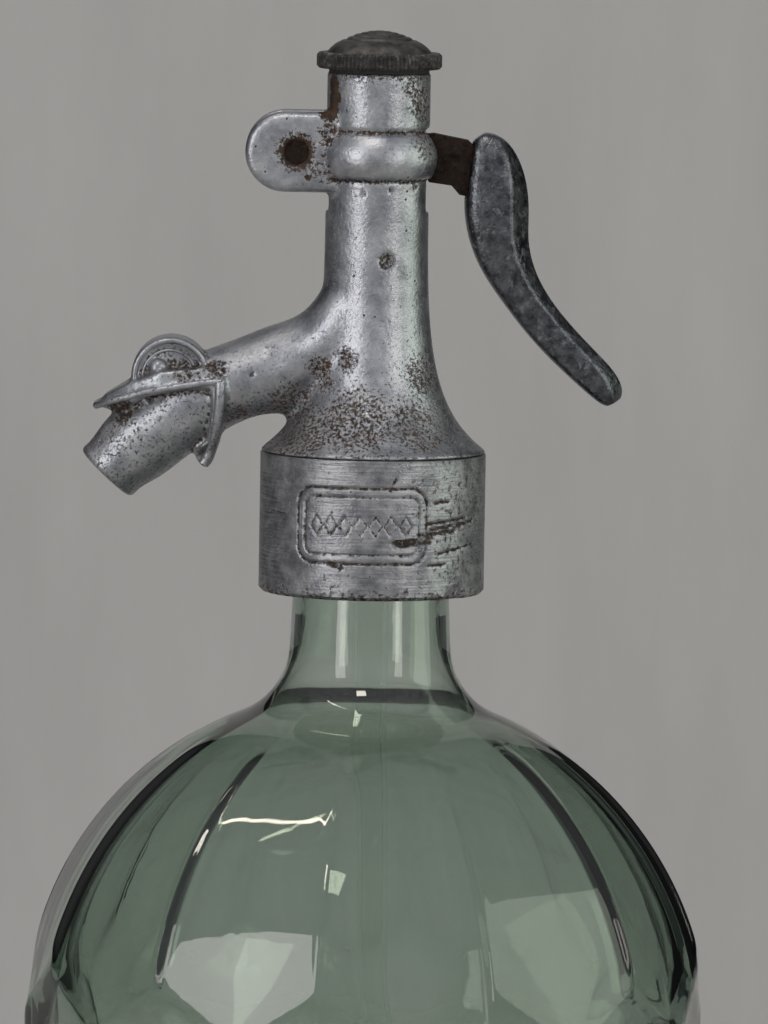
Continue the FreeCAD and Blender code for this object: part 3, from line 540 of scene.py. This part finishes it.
def knockDents(piece, spots, normals):
    # every dent pushes the surface in, and holds dirt
    heap = np.zeros(len(spots))
    for place, radius, depth in head["dents"]:
        near = 1 - np.linalg.norm(spots - place, axis=1) / (radius * head["dentEase"])
        for index in np.flatnonzero(near > 0):
            share = min(1.0, near[index] * 2)
            push = depth * share * share * (3 - 2 * share)
            piece.data.vertices[index].co -= Vector(normals[index]) * push * mm
        heap = np.maximum(heap, np.clip(near * 0.8, 0, head["dentDirt"]))
    return heap


def cutBand(piece, spots):
    # dark cuts above and below the band that runs round the column
    cuts = head["bandCuts"]
    heap = np.zeros(len(spots))
    spread = np.hypot(spots[:, 0], spots[:, 1])
    onColumn = (spread > cuts["inner"]) & (spread < cuts["outer"]) & (spots[:, 0] > cuts["from"])
    for height in cuts["heights"]:
        near = np.clip(1 - np.abs(spots[:, 2] - height) / cuts["half"], 0, 1) * onColumn
        for index in np.flatnonzero(near > 0):
            outward = Vector((*(spots[index, :2] / spread[index]), 0))
            piece.data.vertices[index].co -= outward * near[index] * cuts["depth"] * mm
        heap = np.maximum(heap, near * cuts["dirt"])
    return heap


def spreadStainsAndShade(spots):
    # rust and soil stains, with painted shade where three lie along the column's left edge
    heap = np.zeros(len(spots))
    for place, reach, weight in head["stainsAndShade"]:
        near = 1 - np.linalg.norm(spots - place, axis=1) / (reach * head["stainEase"])
        heap = np.maximum(heap, weight * np.clip(near * 2, 0, 1))
    return heap


def beakSide(x):
    # half width of the beak, a pointed arch in plan
    beak = head["beak"]
    along = min(1.0, max(0.0, (x - beak["tip"]) / beak["length"]))
    return beak["halfWidth"] * math.sqrt(1 - (1 - along) ** 2.1)


def cheekSide(x, z):
    # half width of the cheek, which wraps the round arm
    cheek = head["cheek"]
    tilt = math.radians(cheek["tilt"])
    away = (x - cheek["x"]) * -math.sin(tilt) + (z - cheek["z"]) * math.cos(tilt)
    return max(cheek["chin"], math.sqrt(max(0.0, cheek["radius"] ** 2 - away ** 2)))


def bead(name, places, thickness):
    # a round bead along a path, made a closed mesh
    deselectAll()
    bpy.ops.curve.primitive_nurbs_path_add(location=(0, 0, 0))
    piece = bpy.context.object
    piece.name = name
    path = piece.data
    path.splines.clear()
    spline = path.splines.new("NURBS")
    spline.points.add(len(places) - 1)
    for point, place in zip(spline.points, places):
        point.co = (*(value * mm for value in place), 1)
    spline.use_endpoint_u = True
    spline.order_u = 3
    spline.resolution_u = 8
    path.bevel_depth = thickness * mm
    path.bevel_resolution = 4
    path.use_fill_caps = True
    bpy.ops.object.convert(target="MESH")
    piece = bpy.context.object
    smooth(piece, 60)
    return piece


def setInPlace(piece, name, offset, turn=0.0):
    # turns and moves the mesh of a new primitive, and leaves the object at the origin
    piece.name = name
    editWhole()
    bpy.ops.transform.rotate(value=turn, orient_axis="X", center_override=(0, 0, 0))
    bpy.ops.transform.translate(value=[part * mm for part in offset])
    bpy.ops.object.mode_set(mode="OBJECT")
    smooth(piece)
    return piece


def makeBirdFace():
    # the crisp work on both sides of the casting's bird head
    pieces = []
    plane = head["facePlane"]
    for tag, side in head["faceSides"].items():
        for number, ((x, z), radius, thickness, rise) in enumerate(head["rings"]):
            deselectAll()
            bpy.ops.mesh.primitive_torus_add(major_radius=radius * mm, minor_radius=thickness * mm,
                                             major_segments=72, minor_segments=12)
            place = (x, side * (plane + rise), z)
            pieces.append(setInPlace(bpy.context.object, "faceRing" + tag + str(number), place, math.pi / 2))
        (x, z), radius = head["eye"]
        deselectAll()
        bpy.ops.mesh.primitive_uv_sphere_add(segments=40, ring_count=24, radius=radius * mm)
        pieces.append(setInPlace(bpy.context.object, "eyeBall" + tag, (x, side * plane, z)))
        for number, lid in enumerate(head["lids"]):
            path = [(x, side * (plane + head["lidHeight"]), z) for x, z in lid]
            pieces.append(bead("eyeLid" + tag + str(number), path, head["lidThickness"]))
        path = [(x, side * beakSide(x), z) for x, z in head["beakBead"]]
        pieces.append(bead("beakBead" + tag, path, head["beadThickness"]))
        path = [(x, side * cheekSide(x, z), z) for x, z in head["jawBead"]]
        pieces.append(bead("jawBead" + tag, path, head["jawThickness"]))
    return pieces


def makeHead():
    piece = copyOfNode("headBody", "head_casting")
    applyModifier(piece, "REMESH", mode="VOXEL", voxel_size=head["voxel"] * mm)
    applyModifier(piece, "SMOOTH", factor=0.5, iterations=head["softenSteps"])
    root = piece.vertex_groups.new(name="rootOfSpout")
    for vertex in piece.data.vertices:
        x, y, z = vertex.co / mm
        away = math.dist((x, z), head["rootCentre"]) / head["rootReach"]
        if away < 1 and math.hypot(x, y) > head["rootInner"]:
            root.add([vertex.index], min(1.0, 2 * (1 - away)), "REPLACE")
    applyModifier(piece, "SMOOTH", factor=0.5, iterations=head["rootSteps"], vertex_group="rootOfSpout")
    spots, normals = surfaceArrays(piece)[:2]
    heap = np.maximum(knockDents(piece, spots, normals), cutBand(piece, spots))
    heap = np.maximum(heap, spreadStainsAndShade(spots))
    # corners and crevices get dirt and painted shade from how deep they lie
    corner = crevices(piece, head["creviceSteps"], head["creviceDepth"])
    storeHeap(piece, np.maximum(heap, head["creviceDirtAndShade"] * corner))
    smooth(piece)
    return piece


headBody = makeHead()
castAluminium = agedMetal("castAluminium", head["metal"])
dress(headBody, castAluminium)
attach(headBody, "siphon")
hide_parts("head_casting")
for piece in makeBirdFace():
    dress(piece, castAluminium)
    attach(piece, "siphon")
print("head made,", len(headBody.data.polygons), "faces")


collar = {
    "radius": 19.1, "bore": 17.3, "hole": 13.64, "foot": 215.0, "top": 238.6,
    "lip": 1.8, "bevel": 0.6, "topBevel": 0.12, "steps": 500, "fineStep": 0.24,
    # turned aluminium: fine rings from the tool, dulled, with gouges from a wrench
    "metal": {"light": "#adaeb2", "dark": "#787a80", "deep": "#1f1813", "rust": "#3f3024", "soil": "#474131",
              "patchSize": 3.5, "grimeSize": 0.9, "grimeBase": -0.05, "smooth": 0.30, "rough": 0.48,
              "grainSize": 0.4, "grainHeight": 0.09, "pitDepth": 0.9, "turned": 1.6,
              "speckSpacing": 1.8, "speckRadius": 0.22, "speckShare": 0.2,
              # dirt on the right and along the lower edge
              "levels": [(0.09, "X", 5, 17), (0.17, "Z", 218, 215)], "heap": "dirtHeap"},
    "markEase": 0.14,
    # a plain stamped panel: a round-cornered line, a finer one inside it and a row of lozenges
    "panel": {"across": -2.0, "height": 227.6, "halfWidth": 11.6, "halfHeight": 6.4, "corner": 3.2,
              "depth": 0.2, "dirt": 0.21, "line": 0.16,
              "innerGap": 1.5, "innerLine": 0.096, "innerShare": 0.8},
    "lozenges": {"count": 7, "pitch": 2.6, "half": 1.7, "slimness": 1.5, "line": 0.112},
    # wrench marks: start and end (round the collar, height), half width, depth
    "gouges": [((4.0, 224.6), (10.5, 225.3), 0.55, 0.4), ((8.5, 226.0), (15.6, 226.6), 0.26, 0.25),
               ((10.5, 227.0), (20.5, 228.0), 0.22, 0.25), ((9.5, 227.9), (18.5, 228.7), 0.16, 0.2),
               ((11.0, 231.4), (14.0, 231.6), 0.18, 0.2), ((12.0, 222.9), (21.0, 224.2), 0.13, 0.15),
               ((3.0, 233.6), (4.0, 235.6), 0.14, 0.2), ((-7.5, 221.2), (-5.2, 220.6), 0.35, 0.25),
               ((-21.0, 229.2), (-16.0, 229.0), 0.12, 0.12), ((10.0, 220.9), (13.5, 221.1), 0.16, 0.15)],
    "gougeDirt": 0.24,
    # chips in the lower edge: place, reach, depth, and how soon they run out
    "chipEase": 1.4,
    "chips": [((15.6, 215.2), 1.7, 0.55), ((17.0, 215.0), 1.3, 0.5), ((11.0, 215.0), 0.8, 0.3)],
    "chipDirt": 0.12,
}


def bandOf(distance, half):
    # 1 inside a line of this half width, easing to 0 over the next bit
    return np.clip((half + collar["markEase"] - distance) / collar["markEase"], 0, 1)


def strokeDistance(across, height, start, end):
    run = (end[0] - start[0], end[1] - start[1])
    along = ((across - start[0]) * run[0] + (height - start[1]) * run[1]) / (run[0] ** 2 + run[1] ** 2)
    along = np.clip(along, 0, 1)
    return np.hypot(across - start[0] - along * run[0], height - start[1] - along * run[1])


def panelCut(across, height):
    # depth of the stamped panel at each point
    panel = collar["panel"]
    row = collar["lozenges"]
    overX = np.abs(across - panel["across"]) - panel["halfWidth"] + panel["corner"]
    overZ = np.abs(height - panel["height"]) - panel["halfHeight"] + panel["corner"]
    edge = np.hypot(np.maximum(overX, 0), np.maximum(overZ, 0))
    edge = edge + np.minimum(np.maximum(overX, overZ), 0) - panel["corner"]
    cut = bandOf(np.abs(edge), panel["line"])
    inner = bandOf(np.abs(edge + panel["innerGap"]), panel["innerLine"])
    cut = np.maximum(cut, inner * panel["innerShare"])
    for n in range(row["count"]):
        aside = np.abs(across - panel["across"] - (n - (row["count"] - 1) / 2) * row["pitch"])
        away = np.abs(aside * row["slimness"] + np.abs(height - panel["height"]) - row["half"])
        cut = np.maximum(cut, bandOf(away, row["line"]))
    return cut * panel["depth"]


def markCollar(piece):
    # cuts the stamped panel, the wrench marks and the chipped lower edge into the ring's outer wall
    radius = collar["radius"]
    spots = surfaceArrays(piece)[0]
    outer = np.hypot(spots[:, 0], spots[:, 1]) > radius - collar["bevel"] - 0.05
    across = radius * (np.arctan2(spots[:, 1], spots[:, 0]) + math.pi / 2)
    across = np.where(across > math.pi * radius, across - 2 * math.pi * radius, across)
    height = spots[:, 2]
    cut = panelCut(across, height)
    heap = cut / collar["panel"]["depth"] * collar["panel"]["dirt"]
    for start, end, half, depth in collar["gouges"]:
        mark = bandOf(strokeDistance(across, height, start, end), half)
        cut = np.maximum(cut, mark * depth)
        heap = np.maximum(heap, mark * collar["gougeDirt"])
    for place, reach, depth in collar["chips"]:
        away = np.hypot(across - place[0], height - place[1]) / reach
        mark = np.clip(collar["chipEase"] - away, 0, 1)
        cut = np.maximum(cut, mark * depth)
        heap = np.maximum(heap, mark * collar["chipDirt"])
    for index in np.flatnonzero(outer & (cut > 0)):
        piece.data.vertices[index].co.xy *= 1 - cut[index] / radius
    storeHeap(piece, heap * outer)


def makeCollar():
    c = collar
    count = round((c["top"] - c["foot"] - 1.5 * c["bevel"]) / c["fineStep"])
    side = [(c["radius"], c["foot"] + c["bevel"] + n * c["fineStep"]) for n in range(1, count)]
    outline = [(c["hole"], c["foot"]), (c["radius"] - c["bevel"], c["foot"]),
               (c["radius"], c["foot"] + c["bevel"]), *side,
               (c["radius"], c["top"] - c["topBevel"]), (c["radius"] - c["topBevel"], c["top"]),
               (c["bore"], c["top"]), (c["bore"], c["foot"] + c["lip"]), (c["hole"], c["foot"] + c["lip"]),
               (c["hole"], c["foot"])]
    piece = lathe("collarRing", outline, c["steps"], 90)
    markCollar(piece)
    smooth(piece, 40)
    return piece


collarPiece = makeCollar()
dress(collarPiece, agedMetal("turnedAluminium", collar["metal"]))
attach(collarPiece, "siphon")
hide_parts("collar_ring")
print("collar made,", len(collarPiece.data.polygons), "faces")


cap = {
    "radius": 10.6, "rimFoot": 303.6, "rimTop": 306.3, "plugRadius": 6.2, "plugFoot": 301.0, "bevel": 0.45,
    "flareRadius": 8.9, "flareSwell": 0.22, "flarePoints": 8,
    "domeRadius": 5.7, "domeTop": 310.0, "domeHeight": 1.4, "domePoints": 48,
    "ribs": 90, "ribDepth": 0.3, "rings": 4, "ringDepth": 0.22, "ringHalf": 0.35,
    # dark lead-grey casting, darkest on the knurled rim
    "metal": {"light": "#73706e", "dark": "#494746", "deep": "#1e1d1d", "rust": "#3a3837", "soil": "#302f2f",
              "patchSize": 2.0, "grimeSize": 0.9, "grimeBase": -0.02, "smooth": 0.38, "rough": 0.58,
              "grainSize": 0.4, "grainHeight": 0.06, "pitDepth": 1.0,
              "speckSpacing": 1.5, "speckRadius": 0.2, "speckShare": 0.3,
              "levels": [(0.2, "Z", 306.6, 306.0)]},
}


def domeZ(x):
    # a shallow ball with turned rings
    ball = (cap["domeRadius"] ** 2 + cap["domeHeight"] ** 2) / (2 * cap["domeHeight"])
    ringAt = cap["domeRadius"] / (cap["rings"] + 1)
    near = abs((x / ringAt + 0.5) % 1 - 0.5) * ringAt
    groove = cap["ringDepth"] * max(0, 1 - near / cap["ringHalf"]) if x > ringAt / 2 else 0
    return cap["domeTop"] - ball + math.sqrt(ball ** 2 - x ** 2) - groove


def makeCap():
    c = cap
    domeFoot = c["domeTop"] - c["domeHeight"]
    flare = []
    for n in range(1, c["flarePoints"]):
        t = n / c["flarePoints"]
        swell = c["flareSwell"] * math.sin(math.pi * t)
        flare.append((c["flareRadius"] + (c["domeRadius"] - c["flareRadius"]) * t + swell,
                      c["rimTop"] + (domeFoot - c["rimTop"]) * t + swell))
    across = [c["domeRadius"] * n / c["domePoints"] for n in range(c["domePoints"], -1, -1)]
    outline = [(0, c["plugFoot"]), (c["plugRadius"], c["plugFoot"]), (c["plugRadius"], c["rimFoot"]),
               (c["radius"] - c["bevel"], c["rimFoot"]), (c["radius"], c["rimFoot"] + c["bevel"]),
               (c["radius"], c["rimTop"] - c["bevel"]), (c["radius"] - c["bevel"], c["rimTop"]),
               (c["flareRadius"], c["rimTop"]), *flare, *((x, domeZ(x)) for x in across)]
    piece = lathe("capPiece", outline, c["ribs"] * 4)
    for vertex in piece.data.vertices:
        x, y = vertex.co.xy / mm
        radius = math.hypot(x, y)
        if radius > c["radius"] - c["bevel"] - 0.1:
            wave = 0.5 - 0.5 * math.cos(c["ribs"] * math.atan2(y, x))
            share = 1 - c["ribDepth"] * wave / radius
            vertex.co.xy *= share
    smooth(piece, 35)
    return piece


capPiece = makeCap()
dress(capPiece, agedMetal("leadCasting", cap["metal"]))
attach(capPiece, "siphon")
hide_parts("cap")
print("cap made,", len(capPiece.data.polygons), "faces")


grip = {
    "voxel": 0.4, "slabs": 24,
    # half thicknesses are shares of the widest one, and the spine is a share of the way from front to back
    "flatness": 0.76, "spine": 0.73, "backWidth": 0.02, "crispness": 6, "fullness": 0.65,
    # lead-grey casting handled smooth, with pale scuffs
    "metal": {"light": "#707277", "dark": "#3f4145", "deep": "#595b5f", "rust": "#808287", "soil": "#6b6d71",
              "patchSize": 1.7, "grimeSize": 1.4, "grimeBase": 0.03, "smooth": 0.19, "rough": 0.35,
              "grainSize": 0.55, "grainHeight": 0.15, "pitDepth": 0.2,
              "speckSpacing": 2.4, "speckRadius": 0.2, "speckShare": 0.3},
}


def makeGrip():
    # the sides are flat up to a spine, and slope steeply from there to the back
    piece = copyOfNode("gripBody", "lever_grip")
    applyModifier(piece, "REMESH", mode="VOXEL", voxel_size=grip["voxel"] * mm)
    spots = surfaceArrays(piece)[0]
    height = spots[:, 2]
    low, high = height.min(), height.max()
    # front, back and half width are read from level slabs
    middles = low + (np.arange(grip["slabs"]) + 0.5) * (high - low) / grip["slabs"]
    slab = np.abs(height[:, None] - middles).argmin(axis=1)
    slabs = [spots[slab == n] for n in range(grip["slabs"])]
    front = np.interp(height, middles, [points[:, 0].min() for points in slabs])
    back = np.interp(height, middles, [points[:, 0].max() for points in slabs])
    widest = np.interp(height, middles, [np.abs(points[:, 1]).max() for points in slabs])
    across = (spots[:, 0] - front) / (back - front)
    sloped = np.clip((across - grip["spine"]) / (1 - grip["spine"]), 0, 1)
    room = grip["flatness"] + (grip["backWidth"] - grip["flatness"]) * sloped
    share = np.maximum(np.abs(spots[:, 1]) / widest, 0.001)
    filled = (share / room) ** grip["fullness"]
    eased = room * filled / (1 + filled ** grip["crispness"]) ** (1 / grip["crispness"])
    for index, vertex in enumerate(piece.data.vertices):
        vertex.co.y *= eased[index] / share[index]
    applyModifier(piece, "SMOOTH", factor=0.5, iterations=2)
    smooth(piece)
    return piece


gripBody = makeGrip()
dress(gripBody, agedMetal("gripCasting", grip["metal"]))
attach(gripBody, "lever")
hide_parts("lever_grip")
print("grip made,", len(gripBody.data.polygons), "faces")


# drawn steel wire
springWire = {
    "light": "#a9aaab", "dark": "#7f8081", "deep": "#382e25", "rust": "#5a4a3a", "soil": "#4a4136",
    "patchSize": 2.0, "grimeSize": 1.0, "grimeBase": -0.03, "smooth": 0.3, "rough": 0.45,
    "grainSize": 0.3, "grainHeight": 0.02, "pitDepth": 0.8,
    "speckSpacing": 2.0, "speckRadius": 0.15, "speckShare": 0.1,
}

# the return spring, smoothed and fixed to the siphon; in the real siphon its coils close up on the gland as
# the valve opens
closingSpring = copyOfNode("closingSpring", "return_spring")
smooth(closingSpring)
dress(closingSpring, agedMetal("springWire", springWire))
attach(closingSpring, "siphon")
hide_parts("return_spring")
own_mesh(closingSpring)


# flat bar, rusted all over
rustySteel = {
    "light": "#3a302b", "dark": "#1f1916", "deep": "#16110d", "rust": "#2f2119", "soil": "#231b16",
    "patchSize": 2.5, "grimeSize": 1.2, "grimeBase": 0.12, "smooth": 0.5, "rough": 0.75,
    "grainSize": 0.5, "grainHeight": 0.1, "pitDepth": 1.0,
    "speckSpacing": 1.5, "speckRadius": 0.3, "speckShare": 0.5,
}
# turned from rod, stained by water
turnedBrass = {
    "light": "#c9a866", "dark": "#a3844a", "deep": "#3a2c1a", "rust": "#5c4526", "soil": "#6b6a45",
    "patchSize": 3.0, "grimeSize": 1.2, "grimeBase": -0.03, "smooth": 0.25, "rough": 0.42,
    "grainSize": 0.4, "grainHeight": 0.03, "pitDepth": 0.8, "turned": 1.0,
    "speckSpacing": 2.0, "speckRadius": 0.2, "speckShare": 0.1,
}


def makeRubber():
    # moulded black rubber, matt with a fine grain
    material, tree, place = newMaterial("mouldedRubber")
    grain = addNode(tree, "TexNoise", {"Scale": perSize(0.6), "Detail": 4.0}, {"Vector": place})
    tone = addNode(tree, "ValToRGB",
                   {"stops": [(0.35, hexToLinear("#1f1e1d")), (0.7, hexToLinear("#343230"))]}, {"Fac": grain})
    bump = addNode(tree, "Bump", {"Strength": 0.5, "Distance": 0.05 * mm}, {"Height": grain})
    shader = addNode(tree, "BsdfPrincipled", {"Roughness": 0.7, "IOR": 1.5},
                     {"Base Color": tone, "Normal": bump})
    addNode(tree, "OutputMaterial", None, {"Surface": shader})
    return material


def makeClearTube():
    # drawn clear tube, so thin and clean that it hardly shows
    material, tree, place = newMaterial("clearTube")
    haze = addNode(tree, "TexNoise", {"Scale": perSize(6.0), "Detail": 3.0}, {"Vector": place})
    rough = addNode(tree, "MapRange", {"To Min": 0.0, "To Max": 0.06}, {"Value": haze})
    shader = addNode(tree, "BsdfPrincipled",
                     {"Base Color": hexToLinear("#fbfdfb"), "Transmission Weight": 1.0, "IOR": 1.02},
                     {"Roughness": rough})
    addNode(tree, "OutputMaterial", None, {"Surface": shader})
    return material


finishes = [
    (agedMetal("rustedSteel", rustySteel), ("lever_bar", "pivot_pin")),
    (agedMetal("turnedBrass", turnedBrass),
     ("plunger", "split_ring", "spring_washer", "packing_gland", "valve_seat", "valve_disc", "retaining_nut",
      "tube_holder")),
    (makeRubber(),
     ("neck_gasket", "cap_gasket", "packing_washer", "seat_gasket", "valve_washer", "tube_sleeve")),
    (makeClearTube(), ("dip_tube",)),
]
for finish, nodes in finishes:
    for node in nodes:
        dress(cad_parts[node], finish)
print("finishes given to", sum(len(nodes) for finish, nodes in finishes), "nodes")


studio = {
    "backdropDistance": 0.75, "backdropSize": (0.6, 2.4), "backdrop": "#b1b0b0", "floor": "#c4c2bf",
    # the room is light on the near side and overhead, and dim behind
    "roomBright": 0.58, "roomDim": 0.03, "roomHeading": (0.0, -0.72, 0.69), "roomTint": "#fbfcff",
    "brightAt": 0.8, "dimAt": -0.2,
    # name, place, width, height, power, colour
    "lamps": [
        ("windowLeft", (-1.2, -1.3, 0.60), 0.44, 1.3, 7.2, "#fffbf8"),
        ("windowRight", (1.55, -0.25, 0.50), 0.80, 1.4, 5.5, "#f1fde8"),
        ("windowFar", (1.25, -1.40, 0.65), 0.36, 1.1, 4.5, "#fffaf2"),
        ("ceilingLamp", (-0.25, -0.95, 1.75), 0.28, 0.28, 4.0, "#fff6ea"),
        ("tubeLamp", (-0.62, -0.10, 1.75), 0.03, 0.5, 0.9, "#fff3e2"),
    ],
    "aim": (0.0, 0.0, 0.22),
}


def makePaint(name, colour, seenFromBehind=True):
    # plain painted board with a faint mottle, clear from behind where it stands in front of a viewer
    material, tree, place = newMaterial(name)
    mottle = addNode(tree, "TexNoise", {"Scale": perSize(60.0), "Detail": 6.0, "Roughness": 0.6},
                     {"Vector": place})
    base = hexToLinear(colour)
    low = tuple(c * 0.94 for c in base[:3]) + (1.0,)
    high = tuple(c * 1.05 for c in base[:3]) + (1.0,)
    tone = addNode(tree, "ValToRGB", {"stops": [(0.3, low), (0.7, high)]}, {"Fac": mottle})
    shader = addNode(tree, "BsdfPrincipled", {"Roughness": 0.9, "IOR": 1.4}, {"Base Color": tone})
    surface = shader
    if not seenFromBehind:
        side = addNode(tree, "NewGeometry").outputs["Backfacing"]
        clear = addNode(tree, "BsdfTransparent")
        surface = addNode(tree, "MixShader", None, {0: side, 1: surface, 2: clear})
    addNode(tree, "OutputMaterial", None, {"Surface": surface})
    return material


def makeStudio():
    deselectAll()
    bpy.ops.mesh.primitive_plane_add(size=6, location=(0, 0, 0))
    floor = bpy.context.object
    floor.name = "floor"
    dress(floor, makePaint("floorPaint", studio["floor"]))
    bpy.ops.mesh.primitive_plane_add(size=1, location=(0, studio["backdropDistance"], 0.0),
                                     rotation=(math.pi / 2, 0, 0))
    backdrop = bpy.context.object
    backdrop.name = "backdrop"
    backdrop.scale = (*studio["backdropSize"], 1)
    dress(backdrop, makePaint("backdropPaint", studio["backdrop"], False))
    for name, spot, width, height, power, tint in studio["lamps"]:
        lamp = bpy.data.lights.new(name, "AREA")
        lamp.shape = "RECTANGLE"
        lamp.size = width
        lamp.size_y = height
        lamp.energy = power
        lamp.color = hexToLinear(tint)[:3]
        holder = bpy.data.objects.new(name, lamp)
        bpy.context.scene.collection.objects.link(holder)
        aim = Vector(studio["aim"]) - Vector(spot)
        holder.matrix_world = Matrix.Translation(spot) @ aim.to_track_quat("-Z", "Y").to_matrix().to_4x4()
    world = bpy.data.worlds.new("studioWorld")
    world.use_nodes = True
    tree = world.node_tree
    tree.nodes.clear()
    heading = addNode(tree, "TexCoord").outputs["Generated"]
    facing = addNode(tree, "VectorMath", {"operation": "DOT_PRODUCT", 1: studio["roomHeading"]}, {0: heading})
    level = addNode(tree, "MapRange", {"From Min": studio["dimAt"], "From Max": studio["brightAt"],
                                       "To Min": studio["roomDim"], "To Max": studio["roomBright"]},
                    {"Value": facing.outputs["Value"]})
    room = addNode(tree, "Background", {"Color": hexToLinear(studio["roomTint"])}, {"Strength": level})
    addNode(tree, "OutputWorld", None, {"Surface": room})
    bpy.context.scene.world = world
    bpy.context.scene.view_settings.view_transform = "Standard"


makeStudio()


# a long lens from a little above
view = {"from": (0.0, -1.7, 0.384), "at": (0.0020, 0.0, 0.2284), "roll": 0.93, "lens": 354.0, "sensor": 36.0}


def makeCamera():
    camera = bpy.data.cameras.new("camera")
    camera.sensor_fit = "AUTO"
    camera.sensor_width = view["sensor"]
    camera.lens = view["lens"]
    camera.clip_end = 20
    holder = bpy.data.objects.new("camera", camera)
    bpy.context.scene.collection.objects.link(holder)
    forward = (Vector(view["at"]) - Vector(view["from"])).normalized()
    right = forward.cross(Vector((0, 0, 1))).normalized()
    up = right.cross(forward)
    roll = math.radians(view["roll"])
    rolledRight = right * math.cos(roll) + up * math.sin(roll)
    rolledUp = up * math.cos(roll) - right * math.sin(roll)
    turn = Matrix((rolledRight, rolledUp, -forward)).transposed()
    holder.matrix_world = Matrix.Translation(view["from"]) @ turn.to_4x4()
    bpy.context.scene.camera = holder


makeCamera()
print("studio and camera set")
